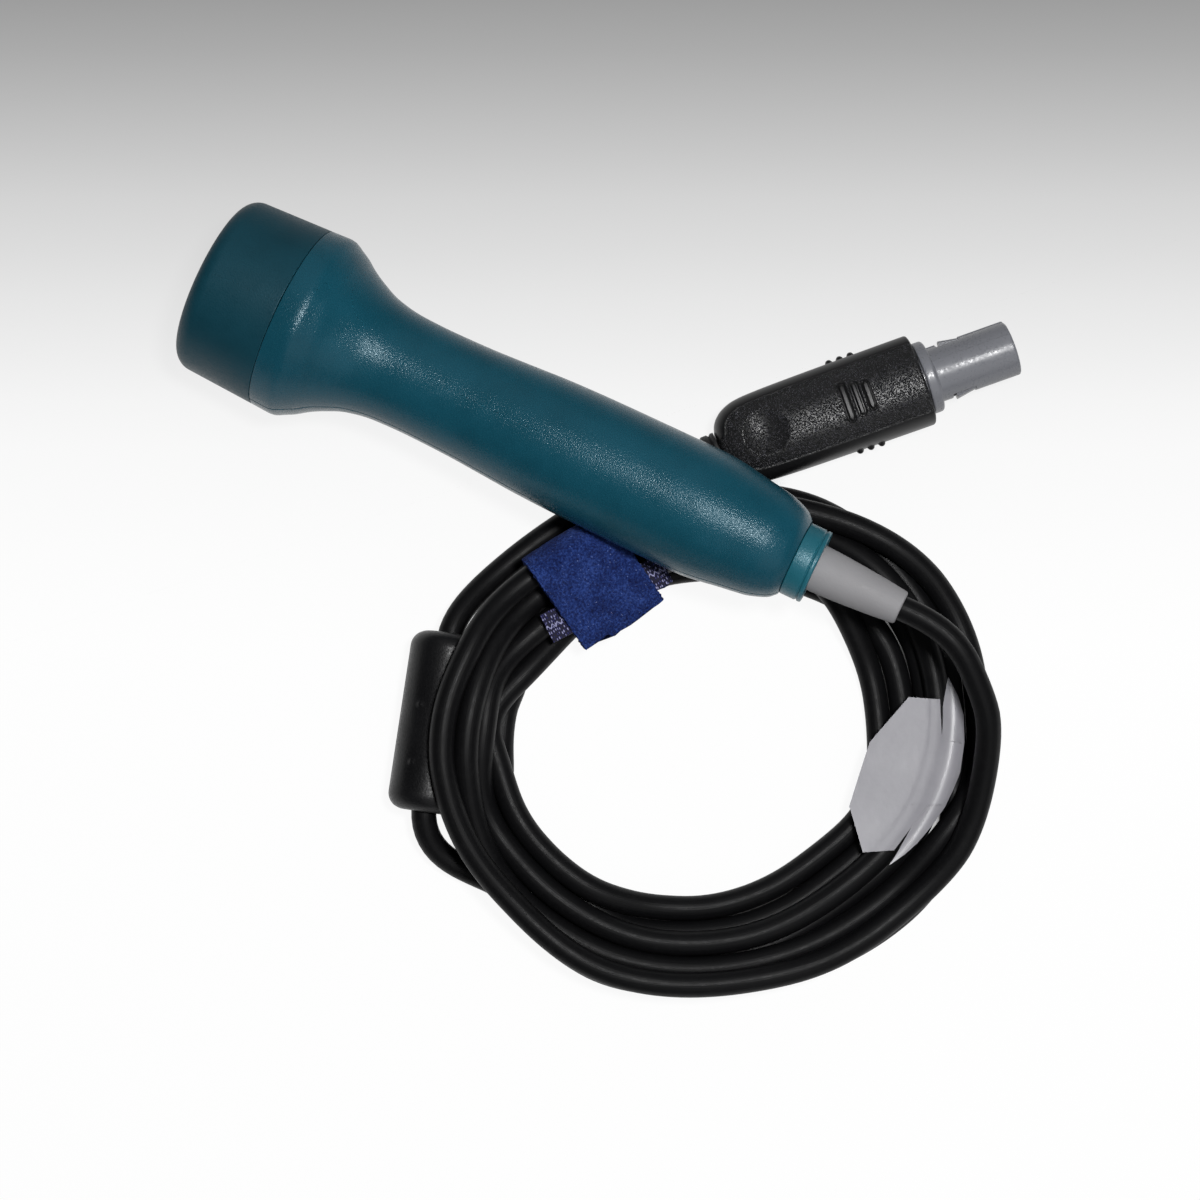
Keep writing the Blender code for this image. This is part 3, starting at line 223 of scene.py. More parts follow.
def settled(path, held, coiled):
    """The lead as it comes to rest: in small steps each point that isn't held sinks, leans back to
    where it was laid, evens out its bend, keeps its distance to its neighbours, and is moved out of
    the other strands, the surface, the bead and the probe. The coiled points also stay between the
    coil's two lines and leave room for the tie."""
    p = path.copy()
    n = len(p)
    free = (~held).astype(float)[:, None]
    step = np.linalg.norm(np.diff(path, axis=0), axis=1).mean()
    apart = 2 * LEAD_RADIUS + LEAD_SPACE
    skip = int(3 * apart / step)
    from_middle = path[:, :2] - COIL_MIDDLE
    beside_tie = np.abs(from_middle @ tie_side[:2]) - TIE_WIDTH / 2
    over_tie = coiled & (from_middle @ tie_out[:2] > 0)
    lowest = LEAD_RADIUS + TIE_ROOM * over_tie * smooth_step(TIE_ROOM_ENDS, 0.0, beside_tie)
    for number in range(SETTLE_STEPS):
        done = number / SETTLE_STEPS
        if number % 6 == 0:
            near = ((p[:, None] - p[None]) ** 2).sum(axis=2) < (apart + WATCHED) ** 2
            one, two = np.nonzero(np.triu(near, skip))
            shared = np.maximum(free[one] + free[two], 1.0)
        p[:, 2] -= free[:, 0] * SINK * max(0.0, 1.0 - SINK_FADES * done)
        p[:, :2] += free * (path - p)[:, :2] * LEAN_BACK * (1.0 - done)
        even = (4 * (p[1:-3] + p[3:-1]) - p[:-4] - p[4:]) / 6.0
        p[2:-2] += EVEN_OUT * free[2:-2] * (even - p[2:-2])
        for first in (0, 1, 0, 1):
            a = slice(first, n - 1, 2)
            b = slice(first + 1, n, 2)
            gap = p[b] - p[a]
            size = np.linalg.norm(gap, axis=1)[:, None]
            fix = gap / size * (size - step) / np.maximum(free[a] + free[b], 1.0)
            p[a] += free[a] * fix
            p[b] -= free[b] * fix
        for _ in range(4):
            off = p[one] - p[two]
            size = np.linalg.norm(off, axis=1)[:, None] + 1e-9
            push = off * np.maximum(apart - size, 0.0) / size / shared
            touching = (size < apart).astype(float)
            moved = np.zeros_like(p)
            count = np.zeros((n, 1))
            np.add.at(moved, one, push)
            np.add.at(moved, two, -push)
            np.add.at(count, one, touching)
            np.add.at(count, two, touching)
            p += free * moved * PUSH_OFF / np.maximum(count, 1.0)
            q = out_of_rod(
                p, BEAD_CENTRE - BEAD_ALONG * BEAD_LENGTH / 2, BEAD_ALONG, BEAD_LENGTH,
                BEAD_RADIUS + LEAD_RADIUS + 2 * LEAD_SPACE,
            )
            flat = q[:, :2] - COIL_MIDDLE
            away = np.hypot(flat[:, 0], flat[:, 1])
            degrees = np.degrees(np.arctan2(flat[:, 1], flat[:, 0]))
            low = by_angle(COIL_INSIDE, degrees) + LEAD_RADIUS
            high = by_angle(COIL_OUTSIDE, degrees) - LEAD_RADIUS
            high = np.where(coiled, high, 1.0)
            q[:, :2] += flat * ((np.clip(away, low, high) - away) / away * PULL_IN)[:, None]
            q[:, 2] = np.where(coiled, under_probe(q), q[:, 2])
            q[:, 2] = np.maximum(q[:, 2], lowest)
            p += free * (q - p)
    return p


def on_plug_axis(station):
    """The point on the plug's axis this far past its rear end."""
    return PLUG_REAR + station * PLUG_ALONG


def on_bead_axis(station):
    """The point on the bead's axis this far from its middle."""
    return BEAD_CENTRE + station * BEAD_ALONG


coming_down = through(
    [
        RELIEF_TIP - 0.0278 * PROBE_ALONG,
        RELIEF_TIP - 0.0120 * PROBE_ALONG,
        RELIEF_TIP,
        RELIEF_TIP + 0.0048 * PROBE_ALONG,
        (0.0812, -0.0016, 0.0243),
        (0.0880, -0.0064, 0.0221),
        (0.0930, -0.0116, 0.0195),
        (0.0962, -0.0175, 0.0173),
        (0.0982, -0.0250, 0.0155),
        (0.0990, -0.0335, 0.0140),
    ],
    LEAD_STEP,
)
going_to_plug = through(
    [
        (0.0225, -0.0812, 0.0026),
        (0.0140, -0.0770, 0.0045),
        on_bead_axis(BEAD_LENGTH / 2 + 0.0020),
        on_bead_axis(0.0),
        on_bead_axis(-BEAD_LENGTH / 2 - 0.0020),
        (-0.0012, -0.0310, 0.0055),
        (0.0020, -0.0195, 0.0034),
        (0.0064, -0.0119, 0.0040),
        (0.0117, -0.0046, 0.0058),
        on_plug_axis(-0.0145),
        on_plug_axis(-0.0113),
        on_plug_axis(0.0280),
    ],
    LEAD_STEP,
)
turned_deg = np.arange(0.0, 360.0 * COIL_TURNS + COIL_FIRST_DEG - COIL_LAST_DEG, 4.0)
laid = evenly(np.vstack([coming_down, wound(turned_deg)[3:-2], going_to_plug]), LEAD_STEP)
coming_steps = len(coming_down)
going_steps = len(going_to_plug)
coiled = np.zeros(len(laid), bool)
coiled[coming_steps:-going_steps] = True
from_bead = laid - BEAD_CENTRE
beside = np.abs(from_bead @ BEAD_ALONG)
off_bead = np.linalg.norm(from_bead - (from_bead @ BEAD_ALONG)[:, None] * BEAD_ALONG, axis=1)
in_bead = (beside < BEAD_LENGTH / 2 + HELD_BESIDE_BEAD) & (off_bead < HELD_BESIDE_BEAD)
in_plug = (laid - PLUG_REAR) @ PLUG_ALONG > -HELD_BEHIND_PLUG
in_plug[:-going_steps] = False
held = in_bead | in_plug
held[: int(HELD_START / LEAD_STEP)] = True
route = settled(laid, held, coiled)


def unit(vectors):
    """Each row divided by its length."""
    return vectors / np.linalg.norm(vectors, axis=-1, keepdims=True)


def grid_piece(name, grid, ring_rows=False, ring_columns=True, sharp_deg=35.0):
    """A closed surface through a grid of points. Rows and columns that are rings run on round to the
    first one, and where they aren't, the open ends are closed by one face each. Points that fall
    together, as at a pole, are welded. The UV map is in metres, along the columns and the rows."""
    rows, columns = grid.shape[:2]
    i = np.arange(rows if ring_rows else rows - 1)
    j = np.arange(columns if ring_columns else columns - 1)
    i, j = [a.ravel() for a in np.meshgrid(i, j, indexing="ij")]
    corners = [(i, j), (i, j + 1), (i + 1, j + 1), (i + 1, j)]
    faces = np.stack([a % rows * columns + b % columns for a, b in corners], axis=1).tolist()
    middle = grid[:, columns // 2]
    widest = grid[np.argmax(np.linalg.norm(np.diff(grid, axis=1), axis=2).sum(axis=1))]
    measures = []
    for line in (middle, widest):
        steps = np.linalg.norm(np.diff(line, axis=0, append=line[:1]), axis=1)
        measures.append(np.concatenate([[0.0], np.cumsum(steps)]))
    uv = np.stack([np.stack([measures[0][a], measures[1][b]], axis=1) for a, b in corners], axis=1)
    uv = uv.reshape(-1, 2)
    numbers = np.arange(rows * columns).reshape(rows, columns)
    if not ring_rows:
        faces += [numbers[0].tolist(), numbers[-1].tolist()]
        uv = np.vstack([uv, np.zeros((2 * columns, 2))])
    if not ring_columns:
        faces += [numbers[:, 0].tolist(), numbers[:, -1].tolist()]
        uv = np.vstack([uv, np.zeros((2 * rows, 2))])
    mesh = bpy.data.meshes.new(name)
    mesh.from_pydata(grid.reshape(-1, 3).tolist(), [], faces)
    mesh.uv_layers.new(name="metres").data.foreach_set("uv", uv.ravel())
    shape = bmesh.new()
    shape.from_mesh(mesh)
    bmesh.ops.remove_doubles(shape, verts=shape.verts, dist=1e-8)
    bmesh.ops.recalc_face_normals(shape, faces=shape.faces)
    shape.to_mesh(mesh)
    shape.free()
    mesh.shade_smooth()
    mesh.set_sharp_from_angle(angle=math.radians(sharp_deg))
    piece = bpy.data.objects.new(name, mesh)
    bpy.context.scene.collection.objects.link(piece)
    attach(piece, "root")
    return piece


def swept(path, outline):
    """Grid of an outline carried along a path: its two numbers are a distance to the side and a
    distance upwards, both square to the path."""
    along = unit(np.gradient(path, axis=0))
    side = unit(np.cross(along, (0.0, 0.0, 1.0)))
    up = np.cross(side, along)
    return path[:, None] + outline[:, :1] * side[:, None] + outline[:, 1:] * up[:, None]


def material(name, base, roughness, **sockets):
    """A material with one Principled shader, whose own sockets hold what is the same all over."""
    look = bpy.data.materials.new(name)
    look.use_nodes = True
    shader = look.node_tree.nodes["Principled BSDF"]
    shader.inputs["Base Color"].default_value = (*base, 1.0)
    shader.inputs["Roughness"].default_value = roughness
    for socket, value in sockets.items():
        shader.inputs[socket.replace("_", " ")].default_value = value
    return look


def node(look, kind, inputs, **settings):
    """One more shader node in a material. An input is a value or another node's output."""
    made = look.node_tree.nodes.new("ShaderNode" + kind)
    for setting, value in settings.items():
        setattr(made, setting, value)
    for socket, value in inputs.items():
        if isinstance(value, bpy.types.NodeSocket):
            look.node_tree.links.new(value, made.inputs[socket])
        else:
            made.inputs[socket].default_value = value
    return made.outputs


def finish(look, socket, value):
    """Joins a node's output to one of the material's shader sockets."""
    look.node_tree.links.new(value, look.node_tree.nodes["Principled BSDF"].inputs[socket])


def place_in(look):
    """The place on the object, in metres."""
    return node(look, "TexCoord", {})["Object"]


def noise(look, place, size, detail=2.0, roughness=0.5):
    """Noise from 0 to 1 with features of about this size in metres."""
    inputs = {"Vector": place, "Scale": 1.0 / size, "Detail": detail, "Roughness": roughness}
    return node(look, "TexNoise", inputs)["Fac"]


def stretch(look, value, low, high, to_low, to_high):
    """The value's range from low to high, clamped and moved to another range."""
    inputs = {"Value": value, "From Min": low, "From Max": high, "To Min": to_low, "To Max": to_high}
    return node(look, "MapRange", inputs)["Result"]


def sums(look, operation, one, two):
    """One step of arithmetic on two values."""
    return node(look, "Math", {0: one, 1: two}, operation=operation)["Value"]


def blend(look, value, *stops):
    """A colour for each value: stops are (value, colour)."""
    ramp = look.node_tree.nodes.new("ShaderNodeValToRGB")
    look.node_tree.links.new(value, ramp.inputs["Fac"])
    points = ramp.color_ramp.elements
    while len(points) < len(stops):
        points.new(0.5)
    for point, (at, colour) in zip(points, stops):
        point.position = at
        point.color = (*colour, 1.0)
    return ramp.outputs["Color"]


def bumped(look, height, depth):
    """Bumps of this depth in metres where height goes from 0 to 1."""
    finish(look, "Normal", node(look, "Bump", {"Height": height, "Distance": depth})["Normal"])


def moulded(name, base, roughness, grain=0.00035, depth=0.00003, vary=0.12, **sockets):
    """Moulded plastic or rubber: a fine grain, and slow changes in tone and gloss over its surface."""
    look = material(name, base, roughness, **sockets)
    place = place_in(look)
    fine = noise(look, place, grain, detail=1.0)
    slow = noise(look, place, 0.012, detail=4.0, roughness=0.6)
    tone = sums(look, "ADD", sums(look, "MULTIPLY", slow, 0.75), sums(look, "MULTIPLY", fine, 0.25))
    darker = [channel * (1.0 - vary) for channel in base]
    lighter = [channel * (1.0 + vary) for channel in base]
    finish(look, "Base Color", blend(look, tone, (0.35, darker), (0.65, lighter)))
    gloss = stretch(look, slow, 0.3, 0.7, roughness - 0.05, roughness + 0.06)
    finish(look, "Roughness", sums(look, "ADD", gloss, stretch(look, fine, 0.3, 0.7, -0.09, 0.09)))
    bumped(look, fine, depth)
    return look


def wear(piece, look):
    """Gives the piece this material and no other."""
    piece.data.materials.clear()
    piece.data.materials.append(look)


# Smooth extruded jacket: faint lines along it, a little dust, and a satin gloss.
jacket = material("black_jacket", (0.0060, 0.0060, 0.0065), 0.46, Specular_IOR_Level=0.13)
along_it = node(jacket, "UVMap", {}, uv_map="metres")["UV"]
drawn = node(jacket, "Mapping", {"Vector": along_it, "Scale": (0.03, 1.0, 1.0)})["Vector"]
lines = noise(jacket, drawn, 0.0004, detail=2.0)
dust = noise(jacket, place_in(jacket), 0.0011, detail=5.0, roughness=0.7)
finish(jacket, "Base Color", blend(
    jacket, dust,
    (0.55, (0.0045, 0.0045, 0.0050)), (0.74, (0.0070, 0.0070, 0.0075)), (0.80, (0.016, 0.016, 0.016)),
))
finish(jacket, "Roughness", stretch(jacket, dust, 0.35, 0.75, 0.40, 0.54))
bumped(jacket, lines, 0.00004)

lead_path = through(route, LEAD_STEP / 2)
around = np.linspace(0.0, 2 * math.pi, 20, endpoint=False)
lead_round = LEAD_RADIUS * np.stack([np.cos(around), np.sin(around)], axis=1)
lead = grid_piece("lead", swept(lead_path, lead_round))
wear(lead, jacket)
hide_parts("cable_probe_lead", "cable_coil", "cable_plug_lead")


# The head cap is one moulded cup of dark teal plastic with the slightly crowned acoustic face as its
# floor. It is bonded over the handle's spigot, which leaves a fine seam round the shoulder.
HEAD_RADIUS = 0.01665
FACE_SAG = 0.00035
FACE_THICKNESS = 0.0018
RIM_ROUND = 0.0033
SEAM_STATION = 0.0167
SEAM_GAP = 0.00008
SEAM_ROUND = 0.00016
SPIGOT_STATION = 0.0105
SPIGOT_RADIUS = 0.0150
SPIGOT_BORE = 0.0126
SPACE = 0.0003
TEAL_TINT = (0.72, 0.92, 1.0, 1.0)
# Places along the outside, as (station, radius).
SHOULDER = (0.0205, 0.01744)
WAIST = (0.0455, 0.01026)
PALM = (0.0950, 0.01177)
TAIL = (0.1178, 0.0072)
# Shares of the way from one of these places to the next, with the shares of the change in radius.
FLARE = (
    (0.05, 0.045), (0.09, 0.12), (0.16, 0.25), (0.23, 0.42), (0.30, 0.563), (0.375, 0.69),
    (0.45, 0.805), (0.53, 0.885), (0.66, 0.965), (0.82, 0.995), (1.0, 1.0),
)
PALM_SWELL = ((0.15, 0.13), (0.30, 0.42), (0.45, 0.72), (0.65, 0.90), (1.0, 1.0))
TAIL_TURN = (
    (0.22, 0.015), (0.38, 0.10), (0.54, 0.23), (0.70, 0.345), (0.78, 0.415), (0.86, 0.545),
    (0.93, 0.69), (0.975, 0.85), (1.0, 1.0),
)


def between(start, end, shares):
    """Places on the way from start to end, as (station, radius)."""
    return np.asarray(start) + np.asarray(shares) * (np.asarray(end) - start)


def about(origin, along, station, radius, angle):
    """Points round an axis: at a station along it and a radius out from it, at an angle in radians
    that grows from the axis's level side towards its upper side."""
    side = unit(np.cross((0.0, 0.0, 1.0), along))
    up = np.cross(along, side)
    station, out, rise = np.broadcast_arrays(station, radius * np.cos(angle), radius * np.sin(angle))
    return origin + station[..., None] * along + out[..., None] * side + rise[..., None] * up


def rounded(corners, count=7):
    """A closed profile through corners (station, radius, rounding), where an arc that touches both
    sides takes the place of each corner that has a rounding."""
    places = np.array([corner[:2] for corner in corners])
    out = []
    for here, (_, _, rounding), before, after in zip(
        places, corners, np.roll(places, 1, axis=0), np.roll(places, -1, axis=0)
    ):
        if rounding == 0.0:
            out.append(here[None])
            continue
        a = unit(before - here)
        b = unit(after - here)
        half = math.acos(np.clip(a @ b, -1.0, 1.0)) / 2
        centre = here + unit(a + b) * rounding / math.sin(half)
        start = here + a * rounding / math.tan(half) - centre
        end = here + b * rounding / math.tan(half) - centre
        t = np.linspace(0.0, 1.0, count)[:, None]
        out.append(centre + rounding * unit(start * (1 - t) + end * t))
    return np.vstack(out)


def turned(name, origin, along, profile, count=144, shaped=None, sharp_deg=35.0):
    """A profile of (station, radius) turned round an axis. One that starts and ends on the axis is
    solid, and any other is a ring. shaped, if given, changes the radius by station and angle."""
    angle = np.linspace(0.0, 2 * math.pi, count, endpoint=False)[None]
    station = profile[:, :1]
    radius = profile[:, 1:] + 0.0 * angle
    if shaped is not None:
        radius = shaped(station, angle, radius)
    grid = about(origin, along, station, radius, angle)
    return grid_piece(name, grid, ring_rows=bool(profile[0, 1] > 0.0), sharp_deg=sharp_deg)


seam_radius = float(np.interp(
    SEAM_STATION, (FACE_SAG + RIM_ROUND, SHOULDER[0]), (HEAD_RADIUS, SHOULDER[1]),
))
outline = through(np.vstack([
    [(SEAM_STATION, seam_radius), SHOULDER], between(SHOULDER, WAIST, FLARE),
    between(WAIST, PALM, PALM_SWELL), between(PALM, TAIL, TAIL_TURN),
]), 0.0006)
cap_end = SEAM_STATION - SEAM_GAP / 2
crown = np.linspace(0.0, 1.0, 12)[:, None]
face = np.hstack([FACE_SAG * crown**3, (HEAD_RADIUS - RIM_ROUND) * crown])
rim_turn = np.radians(np.linspace(0.0, 90.0, 15))[1:, None]
rim = np.hstack([
    FACE_SAG + RIM_ROUND * (1.0 - np.cos(rim_turn)), HEAD_RADIUS - RIM_ROUND * (1.0 - np.sin(rim_turn)),
])
cap_wall = rounded([
    (FACE_SAG + RIM_ROUND, HEAD_RADIUS, 0.0), (cap_end, seam_radius, SEAM_ROUND),
    (cap_end, SPIGOT_RADIUS + SPACE, 0.0), (FACE_THICKNESS, SPIGOT_RADIUS + SPACE, 0.0025),
    (FACE_THICKNESS, 0.0, 0.0),
])[1:]
head_cap = turned("head", PROBE_FACE, PROBE_ALONG, np.vstack([face, rim, cap_wall]), count=192)
wear(head_cap, moulded(
    "teal_head", (0.0050, 0.045, 0.066), 0.44, grain=0.00030, depth=0.00003, Specular_IOR_Level=0.25,
    Specular_Tint=TEAL_TINT,
))
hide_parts("head_cap")


# The handle is two moulded half shells of teal plastic, glued along a parting line that is rolled a
# little about the probe's axis. Each has half of the shoulder, the waist, the palm swell and the tail,
# and half of the spigot that the cap and its seal sit on.
HANDLE_ROLL_DEG = -12.0
HANDLE_WALL = 0.0018
SHOULDER_WEB = 0.0020
REAR_HOLE = 0.0055
TAIL_ROUND = 0.0004
CORNER_ROOM = 0.0008
# Where the seal's groove starts and ends, and the radius of its floor.
SEAL_GROOVE = (0.0122, 0.0138, 0.0139)
PARTING_GAP = 0.00005
PARTING_EDGE = 0.00018

shell_start = SEAM_STATION + SEAM_GAP / 2
outer = outline[(outline[:, 0] > shell_start + CORNER_ROOM) & (outline[:, 0] < TAIL[0] - CORNER_ROOM)]
slope = unit(np.gradient(outer, axis=0))
inner = (outer + HANDLE_WALL * slope @ np.array([[0.0, -1.0], [1.0, 0.0]]))[::-1]
inner = inner[inner[:, 0] > SEAM_STATION + 2 * SHOULDER_WEB]
inner = inner[inner[:, 0] < TAIL[0] - 1.2 * HANDLE_WALL]
front = rounded([
    (shell_start, SPIGOT_RADIUS, 0.0), (shell_start, seam_radius, SEAM_ROUND), (*outer[0], 0.0),
])
rear = rounded([
    (*outer[-1], 0.0), (*TAIL, TAIL_ROUND), (TAIL[0], REAR_HOLE, 0.0),
    (TAIL[0] - HANDLE_WALL, REAR_HOLE, 0.0),
])
spigot = np.array([
    (SEAM_STATION + SHOULDER_WEB, inner[-1, 1]), (SEAM_STATION + SHOULDER_WEB, SPIGOT_BORE),
    (SPIGOT_STATION, SPIGOT_BORE), (SPIGOT_STATION, SPIGOT_RADIUS),
    (SEAL_GROOVE[0], SPIGOT_RADIUS), (SEAL_GROOVE[0], SEAL_GROOVE[2]),
    (SEAL_GROOVE[1], SEAL_GROOVE[2]), (SEAL_GROOVE[1], SPIGOT_RADIUS),
])
shell = np.vstack([front[:-1], outer, rear[1:], inner, spigot])
station = shell[:, :1]
radius = shell[:, 1:]
gap = PARTING_GAP / radius
edge = PARTING_EDGE / radius
share = np.linspace(0.0, 1.0, 97)[None]
half_turn = np.hstack([gap, edge + (math.pi - 2 * edge) * share, math.pi - gap])
drop = np.zeros_like(half_turn)
drop[:, [0, -1]] = PARTING_EDGE * 0.6
teal_handle = moulded(
    "teal_handle", (0.0062, 0.067, 0.101), 0.26, grain=0.00022, depth=0.00006, Specular_IOR_Level=0.30,
    Specular_Tint=TEAL_TINT,
)
for name, first_deg, node_name in (
    ("handle_upper_half", HANDLE_ROLL_DEG, "upper_shell"),
    ("handle_lower_half", HANDLE_ROLL_DEG + 180.0, "lower_shell"),
):
    turn = half_turn + math.radians(first_deg)
    half_grid = about(PROBE_FACE, PROBE_ALONG, station, radius - drop, turn)
    half = grid_piece(name, half_grid, ring_rows=True, ring_columns=False)
    wear(half, teal_handle)
    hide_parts(node_name)


# The collar is a short moulded ring of brighter teal that closes the tail, with a fine line round it.
# It is held between the two halves, and the strain relief comes out through it.
COLLAR_START = 0.11785
COLLAR_END = 0.1220
COLLAR_RADIUS = 0.0069
COLLAR_LINE = 0.0006
COLLAR_LINE_DEPTH = 0.0003
# The wider part of its bore at its front: where it ends, and its radius.
COLLAR_RECESS = (0.1190, 0.0056)
RELIEF_BORE = 0.00465

collar = turned("collar", PROBE_FACE, PROBE_ALONG, rounded([
    (COLLAR_START, COLLAR_RECESS[1], 0.0), (COLLAR_START, COLLAR_RADIUS, 0.0002),
    (COLLAR_END - 2 * COLLAR_LINE, COLLAR_RADIUS, 0.0001),
    (COLLAR_END - 1.6 * COLLAR_LINE, COLLAR_RADIUS - COLLAR_LINE_DEPTH, 0.0001),
    (COLLAR_END - 1.2 * COLLAR_LINE, COLLAR_RADIUS, 0.0001), (COLLAR_END, COLLAR_RADIUS, 0.00035),
    (COLLAR_END, RELIEF_BORE, 0.0), (COLLAR_RECESS[0], RELIEF_BORE, 0.0), (*COLLAR_RECESS, 0.0),
]))
wear(collar, moulded(
    "teal_collar", (0.012, 0.115, 0.155), 0.33, grain=0.00022, depth=0.00005, Specular_IOR_Level=0.6,
    Specular_Tint=TEAL_TINT,
))
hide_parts("end_collar")


# The strain relief is a soft light grey sleeve, moulded round the lead and tapered to a rounded tip.
# Its flange sits behind the collar inside the tail.
RELIEF_FLANGE = (0.1155, 0.0060)
# The sleeve behind its flange, as (station, radius, rounding), to the tip.
RELIEF_TAPER = (
    (0.1178, 0.00435, 0.0), (0.1222, 0.00435, 0.0), (0.1263, 0.00418, 0.0), (0.1304, 0.0039, 0.0),
    (0.1346, 0.00355, 0.0), (0.1388, 0.0031, 0.0005),
)
LEAD_BORE = 0.0024

relief = turned("strain_relief_sleeve", PROBE_FACE, PROBE_ALONG, rounded([
    (RELIEF_FLANGE[0], LEAD_BORE, 0.0), (*RELIEF_FLANGE, 0.0002),
    (RELIEF_TAPER[0][0], RELIEF_FLANGE[1], 0.0), *RELIEF_TAPER, (RELIEF_TAPER[-1][0], LEAD_BORE, 0.0),
]))
wear(relief, moulded(
    "grey_soft", (0.30, 0.295, 0.305), 0.66, grain=0.0004, depth=0.00003, vary=0.05,
))
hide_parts("strain_relief")


# The ferrite bead's cover is black plastic moulded round the lead, with well rounded shoulders, a fine
# parting line along both sides, and two small gate pips on its top beside the middle line.
BEAD_SHOULDER = 0.0030
BEAD_LINE_WIDTH = 0.00012
BEAD_LINE_HEIGHT = 0.00010
PIP_STATIONS = (-0.0027, 0.0079)
PIP_SIDE = -0.0034
PIP_RADIUS = 0.0005
PIP_HEIGHT = 0.00025


def bead_shape(station, angle, radius):
    """Parting lines at the two level sides and a small round pip at each gate on the top. Both rise
    as the bell curve exp(-(distance / width)^2)."""
    outside = radius > BEAD_RADIUS - 0.5 * BEAD_SHOULDER
    parting = np.exp(-((np.sin(angle) * radius / BEAD_LINE_WIDTH) ** 2)) * BEAD_LINE_HEIGHT
    pips = 0.0 * angle
    for pip_station in PIP_STATIONS:
        off = np.hypot(station - pip_station, np.cos(angle) * radius - PIP_SIDE)
        pips = pips + PIP_HEIGHT * np.exp(-((off / PIP_RADIUS) ** 2)) * (np.sin(angle) > 0)
    return radius + np.where(outside, parting + pips, 0.0)


bead = turned("bead", BEAD_CENTRE, BEAD_ALONG, evenly(rounded([
    (-BEAD_LENGTH / 2, LEAD_BORE, 0.0), (-BEAD_LENGTH / 2, BEAD_RADIUS, BEAD_SHOULDER),
    (BEAD_LENGTH / 2, BEAD_RADIUS, BEAD_SHOULDER), (BEAD_LENGTH / 2, LEAD_BORE, 0.0),
], count=16), 0.0003), count=256, shaped=bead_shape)
wear(bead, moulded(
    "bead_black", (0.0055, 0.0055, 0.0062), 0.40, grain=0.0003, depth=0.00003, Specular_IOR_Level=0.25,
))
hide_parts("bead_cover")


# The boot is a soft black sleeve moulded on behind the grip, with rings between its grooves so that
# the lead bends gently where it enters the plug.
BOOT_LENGTH = 0.0110
BOOT_RADII = (0.0031, 0.0037)
BOOT_RINGS = 6
BOOT_GROOVE = 0.0004

along_boot = np.linspace(0.0, 1.0, 121)[:, None]
ring_shape = np.clip(1.6 * np.abs(np.cos(math.pi * BOOT_RINGS * along_boot)), 0.0, 1.0)
boot_outside = np.hstack([
    -BOOT_LENGTH * (1.0 - along_boot) - SPACE,
    BOOT_RADII[0] + (BOOT_RADII[1] - BOOT_RADII[0]) * along_boot - BOOT_GROOVE * (1.0 - ring_shape),
])
boot = turned("boot", PLUG_REAR, PLUG_ALONG, np.vstack([
    [(-BOOT_LENGTH - SPACE, LEAD_BORE)], boot_outside, [(-SPACE, LEAD_BORE)],
]))
wear(boot, moulded("black_rubber", (0.0090, 0.0090, 0.0095), 0.58, grain=0.0003, depth=0.00003))
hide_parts("plug_boot")


# The grip is black plastic moulded in one round the plug's tail. Its top and bottom have a coarse spark
# grain inside a smooth raised rim; the top has a thumb dimple and three ribs, each side three bumps.
GRIP_LENGTH = 0.0392
GRIP_WIDTH = 0.0172
GRIP_HEIGHT = 0.0142
GRIP_SQUARENESS = 2.5
# Shares of the length, the width and the height at each section.
GRIP_SECTIONS = (
    (0.0, 0.40, 0.42), (0.012, 0.56, 0.54), (0.035, 0.70, 0.66), (0.075, 0.83, 0.76), (0.14, 0.925, 0.85),
    (0.26, 0.965, 0.92), (0.50, 0.985, 0.97), (0.985, 1.0, 1.0), (1.0, 0.975, 0.975),
)
GRIP_ROWS = 300
GRIP_COLUMNS = 300
# The rounded rear has closer rows: this share of the length, and its number of rows.
GRIP_REAR = (0.06, 50)
GRIP_FRONT_ROUND = 0.0005
# The hole that takes the nose's tail: its depth and radius.
GRIP_HOLE = (0.0064, 0.0059)
# The rim's slope runs from so much inside its width to so much past it.
RIM_WIDTH = 0.0021
RIM_SLOPE = (0.0004, 0.0002)
RIM_PROUD = 0.00028
# Station, radius and depth of the thumb dimple, and how its edge fades.
DIMPLE = (0.0087, 0.0044, 0.0011)
DIMPLE_FADE = (-0.15, 0.25)
# Station and length of each rib, and the distances from it over which its slope, the groove round it
# and the smooth band without grain end.
RIBS = ((0.0243, 0.0070), (0.02645, 0.0062), (0.0286, 0.0053))
RIB_WIDTH = 0.0009
RIB_PROUD = 0.00038
RIB_GROOVE = 0.00034
RIB_SLOPE = (0.00006, -0.00016)
GROOVE_SLOPE = (0.00044, 0.00024)
SMOOTH_BAND = (0.00050, 0.00030)
BUMPS = (0.0243, 0.0264, 0.0285)
BUMP_RADIUS = 0.00068
GRAIN_SIZE = 0.00021

